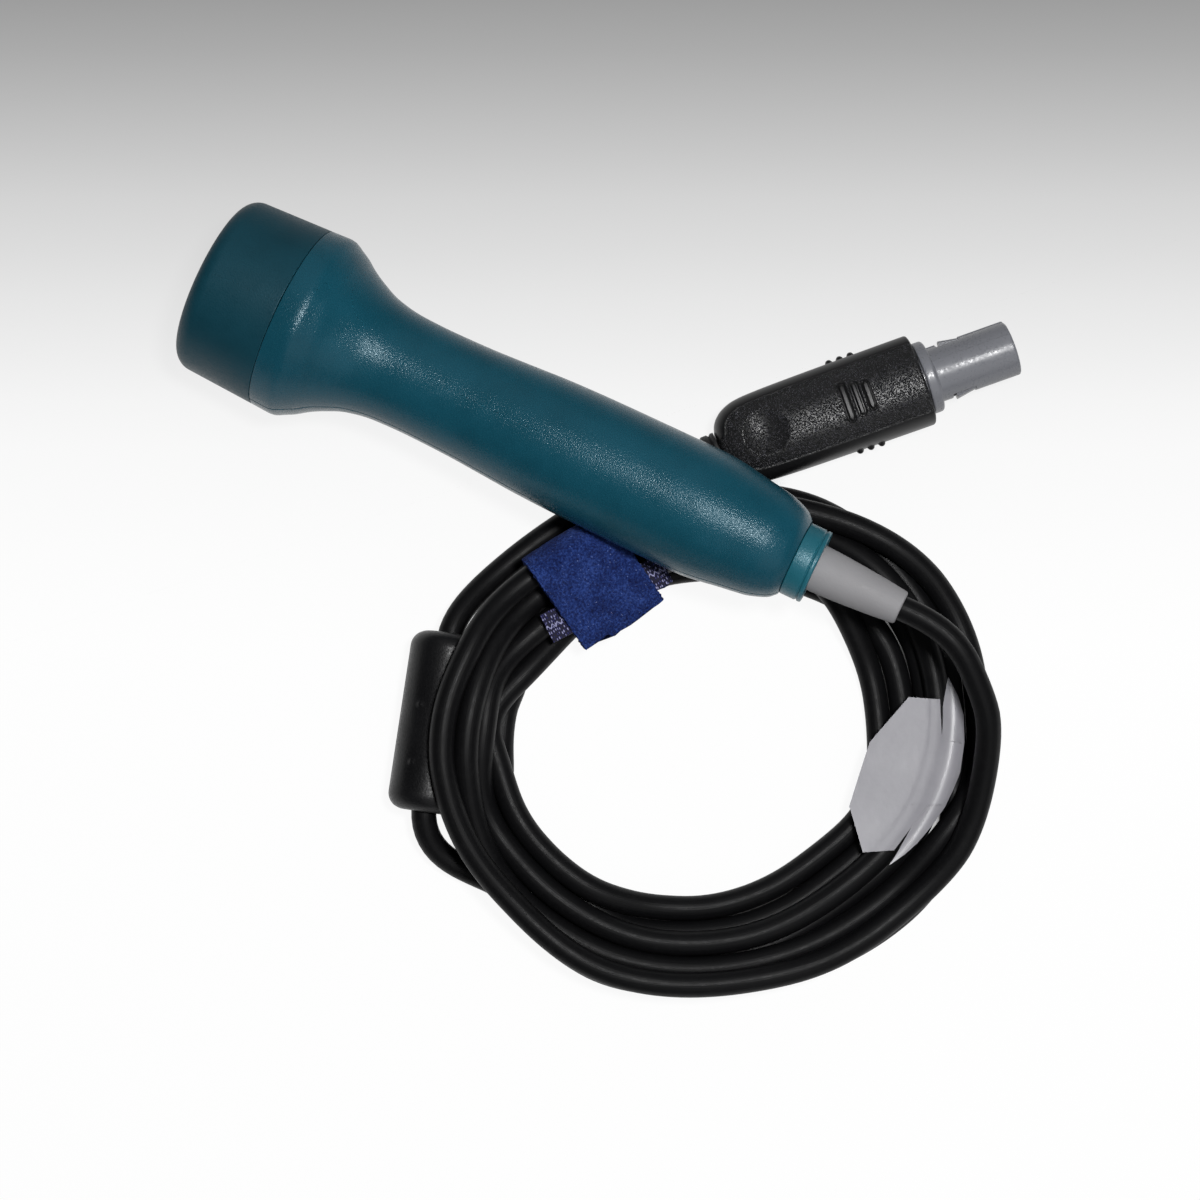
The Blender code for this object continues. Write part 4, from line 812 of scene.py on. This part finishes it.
sections = through(GRIP_SECTIONS, 0.004)
share = np.concatenate([
    np.linspace(0.0, GRIP_REAR[0], GRIP_REAR[1])[:-1],
    np.linspace(GRIP_REAR[0], 1.0, GRIP_ROWS - GRIP_REAR[1] + 1),
])[:, None]
station = share * GRIP_LENGTH
half_width = np.interp(share, sections[:, 0], sections[:, 1]) * GRIP_WIDTH / 2
half_height = np.interp(share, sections[:, 0], sections[:, 2]) * GRIP_HEIGHT / 2
turn = np.linspace(0.0, 2 * math.pi, GRIP_COLUMNS, endpoint=False)[None]
power = 2.0 / GRIP_SQUARENESS
across = half_width * np.sign(np.cos(turn)) * np.abs(np.cos(turn)) ** power
upward = half_height * np.sign(np.sin(turn)) * np.abs(np.sin(turn)) ** power
edge_line = np.hstack([station, half_width])[::6]
from_edge = np.hypot(
    station[..., None] - edge_line[:, 0], np.abs(across)[..., None] - edge_line[:, 1]
).min(axis=-1)
face_share = smooth_step(RIM_WIDTH - RIM_SLOPE[0], RIM_WIDTH + RIM_SLOPE[1], from_edge)
grained = face_share
sunk = RIM_PROUD * face_share
out_from_dimple = np.hypot(station - DIMPLE[0], across)
top_side = (upward > 0).astype(float)
bowl = np.maximum(1.0 - (out_from_dimple / DIMPLE[1]) ** 2, 0.0)
sunk = sunk + top_side * DIMPLE[2] * bowl * smooth_step(*DIMPLE_FADE, bowl)
for rib_station, rib_length in RIBS:
    past_end = np.maximum(np.abs(across) - (rib_length - RIB_WIDTH) / 2, 0.0)
    from_rib = np.hypot(station - rib_station, past_end) - RIB_WIDTH / 2
    on_rib = smooth_step(*RIB_SLOPE, from_rib)
    beside_rib = smooth_step(*GROOVE_SLOPE, from_rib) * (1.0 - on_rib)
    sunk = sunk + top_side * (RIB_GROOVE * beside_rib - RIB_PROUD * on_rib)
    grained = grained * (1.0 - top_side * smooth_step(*SMOOTH_BAND, from_rib))
bumps = np.zeros_like(across)
for bump_station in BUMPS:
    from_bump = np.hypot(station - bump_station, upward)
    bumps += np.sqrt(np.maximum(BUMP_RADIUS**2 - from_bump**2, 0.0))
past_round = np.maximum(station - GRIP_LENGTH + GRIP_FRONT_ROUND, 0.0)
front_round = GRIP_FRONT_ROUND - np.sqrt(np.maximum(GRIP_FRONT_ROUND**2 - past_round**2, 0.0))
across = np.sign(across) * (np.abs(across) + bumps - front_round * np.abs(np.cos(turn)))
upward = np.sign(upward) * (np.abs(upward) - sunk - front_round * np.abs(np.sin(turn)))
side = unit(np.cross((0.0, 0.0, 1.0), PLUG_ALONG))
grip_grid = (
    PLUG_REAR + station[..., None] * PLUG_ALONG + across[..., None] * side
    + upward[..., None] * np.array((0.0, 0.0, 1.0))
)
hole_stations = np.array([[GRIP_LENGTH], [GRIP_LENGTH - GRIP_HOLE[0]]])
hole = about(PLUG_REAR, PLUG_ALONG, hole_stations, GRIP_HOLE[1], turn)
grip = grid_piece("grip", np.concatenate([grip_grid, hole]), sharp_deg=50.0)
grained = np.concatenate([grained.ravel(), np.zeros(hole.size // 3)])
grip.data.attributes.new("grained", "FLOAT", "POINT").data.foreach_set("value", grained)
grip_look = material("grip_black", (0.0060, 0.0060, 0.0066), 0.42, Specular_IOR_Level=0.4)
place = place_in(grip_look)
where = node(grip_look, "Attribute", {}, attribute_name="grained")["Fac"]
# Painted glints: pale specks in the colour of the grained faces, in some of the grain's small cells,
# where the spark grain would catch the light.
pits = node(grip_look, "TexVoronoi", {"Vector": place, "Scale": 1.0 / GRAIN_SIZE})
chance = node(grip_look, "SeparateXYZ", {0: pits["Color"]})["X"]
peak = stretch(grip_look, pits["Distance"], 0.15, 0.60, 1.0, 0.0)
painted_glint = sums(grip_look, "MULTIPLY", stretch(grip_look, chance, 0.30, 1.0, 0.0, 1.0), peak)
finish(grip_look, "Base Color", blend(
    grip_look, sums(grip_look, "MULTIPLY", painted_glint, where),
    (0.05, (0.0048, 0.0048, 0.0053)), (0.30, (0.026, 0.026, 0.029)), (0.70, (0.125, 0.125, 0.145)),
))
finish(grip_look, "Roughness", stretch(grip_look, where, 0.0, 1.0, 0.42, 0.36))
smoother = sums(grip_look, "MULTIPLY", noise(grip_look, place, 0.00030, detail=1.0), 0.10)
bumped(grip_look, sums(grip_look, "ADD", sums(grip_look, "MULTIPLY", peak, where), smoother), 0.00011)
wear(grip, grip_look)
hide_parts("plug_grip")


# The nose is one grey moulding: a tail inside the grip, the flange that stops against the socket, and
# the keyed barrel with a barbed latch finger cut free on each side.
NOSE_RADIUS = 0.0052
NOSE_BORE = 0.0042
NOSE_END = 0.0571
# Where the tail starts, and its radius.
NOSE_TAIL = (0.0330, 0.0056)
# Where the flange starts and ends, and its radius.
FLANGE = (0.0395, 0.0416, 0.0068)
# Only what is within this depth of the barrel's outside takes the key's and the latch's shape.
NOSE_SKIN = 0.00045
# The key's step runs over these degrees, with these slopes past its two edges.
KEY_FROM_DEG = 4.0
KEY_TO_DEG = 64.0
KEY_SLOPES_DEG = (2.5, 1.5)
KEY_DEPTH = 0.00026
# Where the latch finger starts and ends, and the shares of its length that the slot behind it takes
# and at which its barb has sunk to the barrel's level.
LATCH = (0.0444, 0.0482)
LATCH_HALF_WIDTH = 0.0015
LATCH_BARB = 0.00045
LATCH_BEHIND = 0.13
LATCH_BARB_LEVEL = 0.7
SLOT_WIDTH = 0.0005
SLOT_DEPTH = 0.0009


def nose_shape(station, angle, radius):
    """The key's step along one side, and on both level sides a finger between slots with its barb."""
    barrel = (radius > NOSE_RADIUS - NOSE_SKIN) & (station > FLANGE[1] + 0.0001)
    degrees = np.degrees(angle)
    key = smooth_step(KEY_FROM_DEG - KEY_SLOPES_DEG[0], KEY_FROM_DEG, degrees)
    key = key * smooth_step(KEY_TO_DEG + KEY_SLOPES_DEG[1], KEY_TO_DEG, degrees) * KEY_DEPTH
    off = np.abs(np.sin(angle)) * NOSE_RADIUS + 0.0 * station
    ramp = (station - LATCH[0]) / (LATCH[1] - LATCH[0])
    cut_free = (off < LATCH_HALF_WIDTH + SLOT_WIDTH) & (ramp > -LATCH_BEHIND) & (ramp < 1.0)
    finger = (off <= LATCH_HALF_WIDTH) & (ramp >= 0.0) & (ramp < 1.0)
    barb = np.where(finger, LATCH_BARB * (1.0 - ramp / LATCH_BARB_LEVEL), 0.0)
    return radius + np.where(barrel, barb - key - SLOT_DEPTH * (cut_free & ~finger), 0.0)


nose = turned("nose", PLUG_REAR, PLUG_ALONG, evenly(rounded([
    (NOSE_TAIL[0], NOSE_BORE, 0.0), (*NOSE_TAIL, 0.0002), (FLANGE[0], NOSE_TAIL[1], 0.0),
    (FLANGE[0], FLANGE[2], 0.0003), (FLANGE[1], FLANGE[2], 0.0006), (FLANGE[1], NOSE_RADIUS, 0.0002),
    (NOSE_END, NOSE_RADIUS, 0.0004), (NOSE_END, NOSE_BORE, 0.0002),
]), 0.00015), count=288, shaped=nose_shape, sharp_deg=50.0)
wear(nose, moulded(
    "grey_nose", (0.185, 0.190, 0.210), 0.32, grain=0.0005, depth=0.00001, vary=0.03,
))
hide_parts("plug_shell")


# The tie is a strip of blue hook-and-loop cloth, 17 mm wide. It starts on top of the strands, goes down
# through the hole, under them and up the outside, and its free end lies over its start and the hole.
TIE_THICKNESS = 0.0012
TIE_CLEAR = 0.0001
# It is drawn round the strands that cross its plane nearer to the coil's middle than this.
TIE_LIMIT = 0.0440
# Its way starts and ends at this direction, and the free end goes on to this distance from the middle,
# with a small step in its edge.
TIE_SLOPE_DEG = 115.0
TIE_END = 0.0245
TIE_STEP = 0.0009
TIE_STEP_SIDE = 0.2
# Where it comes up and over its start it is lifted, by this much and between these directions.
TIE_LIFT = 0.0029
TIE_LIFT_DEG = (370.0, 455.0)
# Where it goes down through the hole it lies this far to the side, with slopes between these shares
# of its length.
TIE_SKEW = -0.0028
TIE_SKEW_ON = (0.05, 0.15)
TIE_SKEW_OFF = (0.55, 0.30)
TIE_SHAG = 0.00005
TIE_ROWS = 170
TIE_COLUMNS = 43
FINE_STEP = 0.0005

middle = np.array((*COIL_MIDDLE, 0.0))
fine_path = through(route, FINE_STEP)


def strands_at(offset):
    """Where the coil's strands cross the upright plane through the tie, this far to its side: their
    distances out from the coil's middle, and their heights."""
    from_middle = fine_path - middle
    out = from_middle @ tie_out
    side = from_middle @ tie_side - offset
    crossing = np.nonzero((side[:-1] * side[1:] < 0) & (out[:-1] > 0) & (out[:-1] < TIE_LIMIT))[0]
    return np.stack([out[crossing], fine_path[crossing, 2]], axis=1)


def round_strands(strands, degrees, clear):
    """The line drawn tight round the strands, this clear of them: for each direction in degrees, the
    furthest strand's edge."""
    normal = np.stack([np.cos(np.radians(degrees)), np.sin(np.radians(degrees))], axis=1)
    furthest = strands[np.argmax(strands @ normal.T, axis=0)]
    return furthest + (LEAD_RADIUS + clear)[:, None] * normal


def padded_out(sheet, thickness):
    """A sheet's grid given a thickness: across each row, its upper side and back along its lower."""
    normal = unit(np.cross(np.gradient(sheet, axis=0), np.gradient(sheet, axis=1)))
    half = normal * thickness / 2
    return np.concatenate([sheet + half, (sheet - half)[:, ::-1]], axis=1)


tie_turn = np.linspace(TIE_SLOPE_DEG, TIE_SLOPE_DEG + 360.0, 361)
tie_clear = TIE_THICKNESS / 2 + TIE_CLEAR + TIE_LIFT * smooth_step(*TIE_LIFT_DEG, tie_turn)
tie_heading = np.array((-math.sin(math.radians(TIE_SLOPE_DEG)), math.cos(math.radians(TIE_SLOPE_DEG))))
done = np.linspace(0.0, 1.0, TIE_ROWS)
shift = TIE_SKEW * smooth_step(*TIE_SKEW_ON, done) * smooth_step(*TIE_SKEW_OFF, done)
upwards = np.array((0.0, 0.0, 1.0))
tie_lines = []
for offset in np.linspace(-TIE_WIDTH / 2, TIE_WIDTH / 2, TIE_COLUMNS):
    line = round_strands(strands_at(offset), tie_turn, tie_clear)
    step = TIE_STEP if offset < TIE_STEP_SIDE * TIE_WIDTH else 0.0
    tail = (line[-1, 0] - TIE_END) / -tie_heading[0] + step
    line = evenly(np.vstack([line, line[-1] + tie_heading * tail]), 0.0002)
    line = line[np.linspace(0, len(line) - 1, TIE_ROWS).astype(int)]
    sideways = (offset + shift)[:, None] * tie_side
    tie_lines.append(middle + line[:, :1] * tie_out + sideways + line[:, 1:2] * upwards)
tie_sheet = np.stack(tie_lines, axis=1)
shaggy = np.random.default_rng(7).normal(size=tie_sheet.shape[:2] + (1,)) * TIE_SHAG
tie_sheet = tie_sheet + shaggy * upwards
tie = grid_piece("tie", padded_out(tie_sheet, TIE_THICKNESS), sharp_deg=80.0)

# Brushed loop cloth over a darker knitted ground, with painted glints: pale specks in its colour where
# short fibres would catch the light.
cloth = material("blue_cloth", (0.015, 0.038, 0.19), 0.92, Specular_IOR_Level=0.15, Sheen_Weight=0.04)
place = place_in(cloth)
fibre = noise(cloth, place, 0.00042, detail=4.0, roughness=0.75)
patchy = noise(cloth, place, 0.0035, detail=3.0)
glint_noise = noise(cloth, place, 0.00038, detail=2.0, roughness=0.6)
tone = sums(cloth, "ADD", sums(cloth, "MULTIPLY", fibre, 0.75), sums(cloth, "MULTIPLY", patchy, 0.25))
ground = blend(
    cloth, tone,
    (0.38, (0.002, 0.006, 0.055)), (0.50, (0.012, 0.034, 0.180)), (0.62, (0.042, 0.095, 0.38)),
)
# Painted glints: pale specks where the fibres would catch the light, added to the ground's colour.
painted_fibre_glints = blend(cloth, glint_noise, (0.68, (0.0, 0.0, 0.0)), (0.74, (0.22, 0.28, 0.48)))
# A mix node has its colours in its sockets 6 and 7, and gives the mixed one in its output 2.
both = node(cloth, "Mix", {0: 1.0, 6: ground, 7: painted_fibre_glints}, data_type="RGBA", blend_type="ADD")[2]
finish(cloth, "Base Color", both)
bumped(cloth, fibre, 0.0006)
wear(tie, cloth)

# The tie's head is a cross bar of woven hook tape under the free end, dark blue with pale hooks in rows.
BAR_MIDDLE = np.array((0.0209, -0.0207, 0.0))
BAR_ALONG = np.array((0.60, 0.80, 0.0))
BAR_ACROSS = np.array((-0.80, 0.60, 0.0))
BAR_HALF_LENGTH = 0.0122
BAR_HALF_WIDTH = 0.0028
BAR_THICKNESS = 0.0008
BAR_ROUNDS = 60
# It lies on the strands that come after this length of the lead.
BAR_AFTER = 0.12

lengthwise = np.linspace(-1.0, 1.0, 61)[:, None, None] * BAR_HALF_LENGTH * BAR_ALONG
crosswise = np.linspace(-1.0, 1.0, 17)[None, :, None] * BAR_HALF_WIDTH * BAR_ACROSS
bar_sheet = BAR_MIDDLE + lengthwise + crosswise


def lead_top(sheet, clear, path):
    """The height of the path's strands, this much thicker, under each point of a sheet: the axis's
    height and the root of radius^2 - distance^2. Where no strand is, it is this much over the floor."""
    flat = sheet[..., :2].reshape(-1, 2)
    away = ((flat[:, None] - path[None, :, :2]) ** 2).sum(axis=2)
    room = (LEAD_RADIUS + clear) ** 2 - away
    top = np.where(room > 0, path[:, 2] + np.sqrt(np.maximum(room, 0.0)), clear)
    return top.max(axis=1).reshape(sheet.shape[:2])


def draped(sheet, clear, path, rounds):
    """The sheet laid on the strands: its heights are evened out again and again, but never below
    what it lies on."""
    low = lead_top(sheet, clear, path)
    z = np.full_like(low, low.max())
    for _ in range(rounds):
        wide = np.pad(z, 1, mode="reflect", reflect_type="odd")
        z = np.maximum(low, (wide[2:, 1:-1] + wide[:-2, 1:-1] + wide[1:-1, 2:] + wide[1:-1, :-2]) / 4)
    return np.concatenate([sheet[..., :2], z[..., None]], axis=2)


later = fine_path[int(BAR_AFTER / FINE_STEP):]
bar_sheet = draped(bar_sheet, TIE_THICKNESS + 0.6 * BAR_THICKNESS, later, BAR_ROUNDS)
bar = grid_piece("tie_head", padded_out(bar_sheet, BAR_THICKNESS), sharp_deg=60.0)
hook_tape = material("hook_tape", (0.007, 0.007, 0.045), 0.8)
on_tape = node(hook_tape, "UVMap", {}, uv_map="metres")["UV"]
spacing = (1 / 0.00042, 1 / 0.00085, 1.0)
in_rows = node(hook_tape, "Mapping", {"Vector": on_tape, "Scale": spacing})["Vector"]
loops = {"Vector": in_rows, "Scale": 1.0, "Randomness": 0.45}
from_hook = node(hook_tape, "TexVoronoi", loops)["Distance"]
hooks = stretch(hook_tape, from_hook, 0.22, 0.48, 1.0, 0.0)
parts = node(hook_tape, "SeparateXYZ", {0: on_tape})
swing = sums(hook_tape, "SINE", sums(hook_tape, "MULTIPLY", parts["X"], 2 * math.pi / 0.0010), 0.0)
swing = sums(hook_tape, "MULTIPLY", swing, 0.00030)
off_line = sums(hook_tape, "SUBTRACT", sums(hook_tape, "SUBTRACT", parts["Y"], BAR_HALF_WIDTH), swing)
stitch = stretch(hook_tape, sums(hook_tape, "ABSOLUTE", off_line, 0.0), 0.00014, 0.00028, 1.0, 0.0)
threads = noise(hook_tape, place_in(hook_tape), 0.0006, detail=3.0, roughness=0.7)
shown = stretch(hook_tape, threads, 0.34, 0.52, 0.55, 1.0)
pale = sums(hook_tape, "MULTIPLY", sums(hook_tape, "MAXIMUM", hooks, stitch), shown)
finish(hook_tape, "Base Color", blend(
    hook_tape, pale,
    (0.0, (0.0035, 0.0030, 0.022)), (0.40, (0.030, 0.030, 0.18)), (0.80, (0.38, 0.38, 0.62)),
))
bumped(hook_tape, pale, 0.0003)
wear(bar, hook_tape)
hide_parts("strap")


# The label is a bare white film folded round one strand. Its stiff front lobe stands out flat over the
# hole's side and bends down past the strand, and its back lobe shows a little beside it at both ends.
LABEL_THICKNESS = 0.00014
# Height over the strand's top by the distance past it, away from the coil's middle.
LABEL_RISE = (
    (-0.0200, -0.00230), (-0.0040, -0.00055), (-0.0015, -0.00022), (0.0, 0.0), (0.0012, 0.00028),
    (0.0024, 0.00050), (0.0034, 0.00042), (0.0043, 0.00002), (0.0052, -0.00070), (0.0070, -0.00260),
)
# How far each lobe lies over the strand's top.
LABEL_FRONT_CLEAR = 0.00055
LABEL_BACK_CLEAR = -0.00035
# Where along the lead the strand is that the label is folded round.
LABEL_STRAND = (0.59, 0.68)
# Pairs of corners at the left and the right edge of each lobe, from one end of the flag to the other.
LABEL_FRONT = (
    ((0.0784, -0.0126), (0.0837, -0.0105)), ((0.0757, -0.0227), (0.0872, -0.0171)),
    ((0.0756, -0.0231), (0.0906, -0.0160)), ((0.0761, -0.0271), (0.0917, -0.0196)),
    ((0.0767, -0.0313), (0.0922, -0.0238)), ((0.0773, -0.0354), (0.0924, -0.0276)),
    ((0.0777, -0.0357), (0.0901, -0.0283)), ((0.0831, -0.0418), (0.0880, -0.0390)),
)
LABEL_BACK = (
    ((0.0833, -0.0062), (0.0834, -0.0062)), ((0.0843, -0.0098), (0.0864, -0.0085)),
    ((0.0853, -0.0132), (0.0888, -0.0111)), ((0.0861, -0.0180), (0.0911, -0.0155)),
    ((0.0885, -0.0231), (0.0928, -0.0209)), ((0.0888, -0.0264), (0.0930, -0.0243)),
    ((0.0890, -0.0295), (0.0930, -0.0277)), ((0.0891, -0.0335), (0.0923, -0.0320)),
    ((0.0889, -0.0371), (0.0913, -0.0359)), ((0.0887, -0.0397), (0.0901, -0.0388)),
    ((0.0884, -0.0417), (0.0885, -0.0417)),
)


def film(name, corners, clear):
    """One lobe of the flag, and its area. Its height is the strand's top, the clearance and the rise,
    which follows the distance past the strand."""
    corners = np.array(corners)
    steps = np.linspace(0.0, len(corners) - 1.0, 8 * (len(corners) - 1) + 1)
    numbers = np.arange(len(corners))
    left, right = [
        np.stack([np.interp(steps, numbers, corners[:, k, axis]) for axis in (0, 1)], axis=1)
        for k in (0, 1)
    ]
    share = np.linspace(0.0, 1.0, 45)[None, :, None]
    flat = left[:, None] * (1.0 - share) + right[:, None] * share
    strand = fine_path[int(LABEL_STRAND[1] / FINE_STEP) - 1: int(LABEL_STRAND[0] / FINE_STEP) - 1: -1]
    turns = [np.arctan2(p[..., 1] - COIL_MIDDLE[1], p[..., 0] - COIL_MIDDLE[0]) for p in (flat, strand)]
    away = [np.linalg.norm(p[..., :2] - COIL_MIDDLE, axis=-1) for p in (flat, strand)]
    past = away[0] - np.interp(turns[0], turns[1], away[1])
    crest = np.interp(turns[0], turns[1], strand[:, 2]) + LEAD_RADIUS + clear
    rise = np.interp(past, *through(LABEL_RISE, 0.0002).T)
    sheet = np.concatenate([flat, (crest + rise)[..., None]], axis=2)
    normal = np.cross(np.gradient(sheet, axis=0), np.gradient(sheet, axis=1))
    area = float(np.linalg.norm(normal, axis=2).sum())
    return grid_piece(name, padded_out(sheet, LABEL_THICKNESS), sharp_deg=60.0), area


label_front, front_area = film("label_front", LABEL_FRONT, LABEL_FRONT_CLEAR)
label_back = film("label_back", LABEL_BACK, LABEL_BACK_CLEAR)[0]
white_film = material("white_film", (0.29, 0.285, 0.312), 0.38, Coat_Weight=0.10, Coat_Roughness=0.25)
place = place_in(white_film)
soil = noise(white_film, place, 0.006, detail=5.0, roughness=0.65)
finish(white_film, "Base Color", blend(
    white_film, soil, (0.3, (0.270, 0.265, 0.290)), (0.6, (0.300, 0.295, 0.322)),
))
finish(white_film, "Roughness", stretch(white_film, soil, 0.3, 0.7, 0.36, 0.46))
bumped(white_film, noise(white_film, place, 0.0020, detail=2.0), 0.00003)
for lobe in (label_front, label_back):
    wear(lobe, white_film)
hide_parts("label_flag")


# The pieces inside keep their CAD shapes, each in the material that it is made of: fired ceramic,
# rubber, plastic, foam, ferrite, insulated wire, coated laminate with copper tracks and turned brass.
ceramic = moulded("ceramic", (0.60, 0.52, 0.40), 0.5, grain=0.0002, depth=0.00001, vary=0.06)
rubber_ring = moulded("rubber_ring", (0.014, 0.014, 0.014), 0.55, grain=0.0004, depth=0.00001)
white_plastic = moulded("white_plastic", (0.68, 0.68, 0.64), 0.45, grain=0.0006, depth=0.00001, vary=0.04)
foam = moulded("foam", (0.075, 0.075, 0.08), 0.95, grain=0.0005, depth=0.00025, vary=0.35)
ferrite = moulded("ferrite", (0.038, 0.038, 0.042), 0.6, grain=0.0002, depth=0.00003, vary=0.2)
red_wire = moulded("red_wire", (0.48, 0.03, 0.03), 0.4, grain=0.0008, depth=0.00001)
chip_resin = moulded("chip_resin", (0.012, 0.012, 0.013), 0.6, grain=0.00015, depth=0.00002)
inner_black = moulded("insulator_black", (0.012, 0.012, 0.013), 0.45, grain=0.0003, depth=0.00001)
laminate = material("laminate", (0.01, 0.12, 0.04), 0.38, Coat_Weight=0.4)
copper = noise(laminate, place_in(laminate), 0.0022, detail=0.0)
tracks = sums(laminate, "PINGPONG", sums(laminate, "MULTIPLY", copper, 9.0), 0.5)
finish(laminate, "Base Color", blend(
    laminate, tracks, (0.15, (0.008, 0.09, 0.03)), (0.28, (0.02, 0.19, 0.06)),
))
bumped(laminate, tracks, 0.00003)
brass = material("gold_brass", (0.80, 0.55, 0.20), 0.25, Metallic=1.0)
turning = noise(brass, place_in(brass), 0.0002, detail=3.0)
finish(brass, "Roughness", stretch(brass, turning, 0.3, 0.7, 0.2, 0.34))
finish(brass, "Base Color", blend(brass, turning, (0.3, (0.74, 0.50, 0.18)), (0.7, (0.86, 0.60, 0.24))))
for look, names in (
    (ceramic, ("transmit_crystal", "receive_crystal")),
    (rubber_ring, ("face_seal",)),
    (white_plastic, ("crystal_holder", "wire_header", "cable_tie")),
    (foam, ("backing_foam",)),
    (ferrite, ("transmit_coil", "receive_coil", "ferrite_core")),
    (red_wire, tuple(f"core_wire_{k}" for k in range(1, 5))),
    (chip_resin, ("amplifier_chip",)),
    (jacket, ("transmit_lead", "receive_lead")),
    (inner_black, ("contact_insert",)),
    (laminate, ("circuit_board",)),
    (brass, tuple(f"contact_pin_{k}" for k in range(1, 7))),
):
    for name in names:
        wear(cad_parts[name], look)


# The pale surface that everything lies on goes from mid grey at the picture's top to white. Seen
# directly or mirrored it shows mostly that tone, with painted shade in the narrow gaps between the
# strands, and keeps part of the shadow; for the light that it throws on the object it is grey and matt.
PICTURE_UP = (-0.4360, 0.8972, 0.0)
# Along picture-up in metres, and the tone there.
FLOOR_TONES = (
    (-0.036, 1.0), (-0.018, 0.985), (0.001, 0.955), (0.010, 0.92), (0.0195, 0.86), (0.029, 0.80),
    (0.038, 0.73), (0.048, 0.66), (0.057, 0.575), (0.0666, 0.49), (0.076, 0.41), (0.0855, 0.345),
)
FLOOR_REACH = 3.0
FLOOR_HEIGHT = -0.0001
GAP_SHADE_REACH = 0.0045

floor_mesh = bpy.data.meshes.new("floor")
floor_mesh.from_pydata(
    [(x * FLOOR_REACH, y * FLOOR_REACH, FLOOR_HEIGHT) for x, y in ((-1, -1), (1, -1), (1, 1), (-1, 1))],
    [], [(0, 1, 2, 3)],
)
floor = bpy.data.objects.new("floor", floor_mesh)
bpy.context.scene.collection.objects.link(floor)
paper = material("floor_paper", (0.38, 0.38, 0.38), 0.9)
ahead = node(paper, "VectorMath", {0: place_in(paper), 1: PICTURE_UP}, operation="DOT_PRODUCT")["Value"]
first = FLOOR_TONES[0][0]
last = FLOOR_TONES[-1][0]
tone = blend(
    paper, stretch(paper, ahead, first, last, 0.0, 1.0),
    *(((at - first) / (last - first), (value, value, value)) for at, value in FLOOR_TONES),
)
# Painted shade: the floor's glow is dimmed where ambient occlusion finds it closed in, in the narrow gaps
# between and under the strands.
open_sky = node(paper, "AmbientOcclusion", {"Distance": GAP_SHADE_REACH}, samples=8)["AO"]
painted_gap_shade = stretch(paper, open_sky, 0.08, 0.36, 0.0, 1.0)
glow = node(paper, "Emission", {"Color": tone, "Strength": painted_gap_shade})["Emission"]
shaded = node(paper, "BsdfDiffuse", {"Color": tone})["BSDF"]
seen = node(paper, "MixShader", {0: 0.93, 1: shaded, 2: glow})["Shader"]
light_path = node(paper, "LightPath", {})
ray = sums(paper, "MAXIMUM", light_path["Is Camera Ray"], light_path["Is Glossy Ray"])
ray = sums(paper, "MAXIMUM", ray, light_path["Is Transmission Ray"])
plain = paper.node_tree.nodes["Principled BSDF"].outputs["BSDF"]
whole = node(paper, "MixShader", {0: ray, 1: plain, 2: seen})["Shader"]
paper.node_tree.links.new(whole, paper.node_tree.nodes["Material Output"].inputs["Surface"])
wear(floor, paper)

# A compact key lamp above the probe's tail, beside the camera, draws the small highlights. Two large
# dim ones, beyond the picture's top and below it on the right, and an even pale sky fill in.
for name, place, aim, size, power in (
    ("lamp_key", (0.125, 0.060, 0.80), (0.01, -0.02, 0.0), 0.11, 4.8),
    ("lamp_top", (-0.35, 0.65, 0.60), (0.0, 0.0, 0.0), 1.00, 0.8),
    ("lamp_right", (0.60, -0.50, 0.65), (0.0, 0.0, 0.0), 0.80, 1.2),
):
    lamp = bpy.data.objects.new(name, bpy.data.lights.new(name, "AREA"))
    lamp.data.shape = "DISK"
    lamp.data.size = size
    lamp.data.energy = power
    lamp.location = place
    lamp.rotation_euler = (Vector(place) - Vector(aim)).to_track_quat("Z", "Y").to_euler()
    bpy.context.scene.collection.objects.link(lamp)

world = bpy.data.worlds.new("studio")
world.use_nodes = True
world.node_tree.nodes["Background"].inputs["Color"].default_value = (0.86, 0.89, 0.93, 1.0)
world.node_tree.nodes["Background"].inputs["Strength"].default_value = 0.07
bpy.context.scene.world = world
bpy.context.scene.view_settings.view_transform = "Standard"
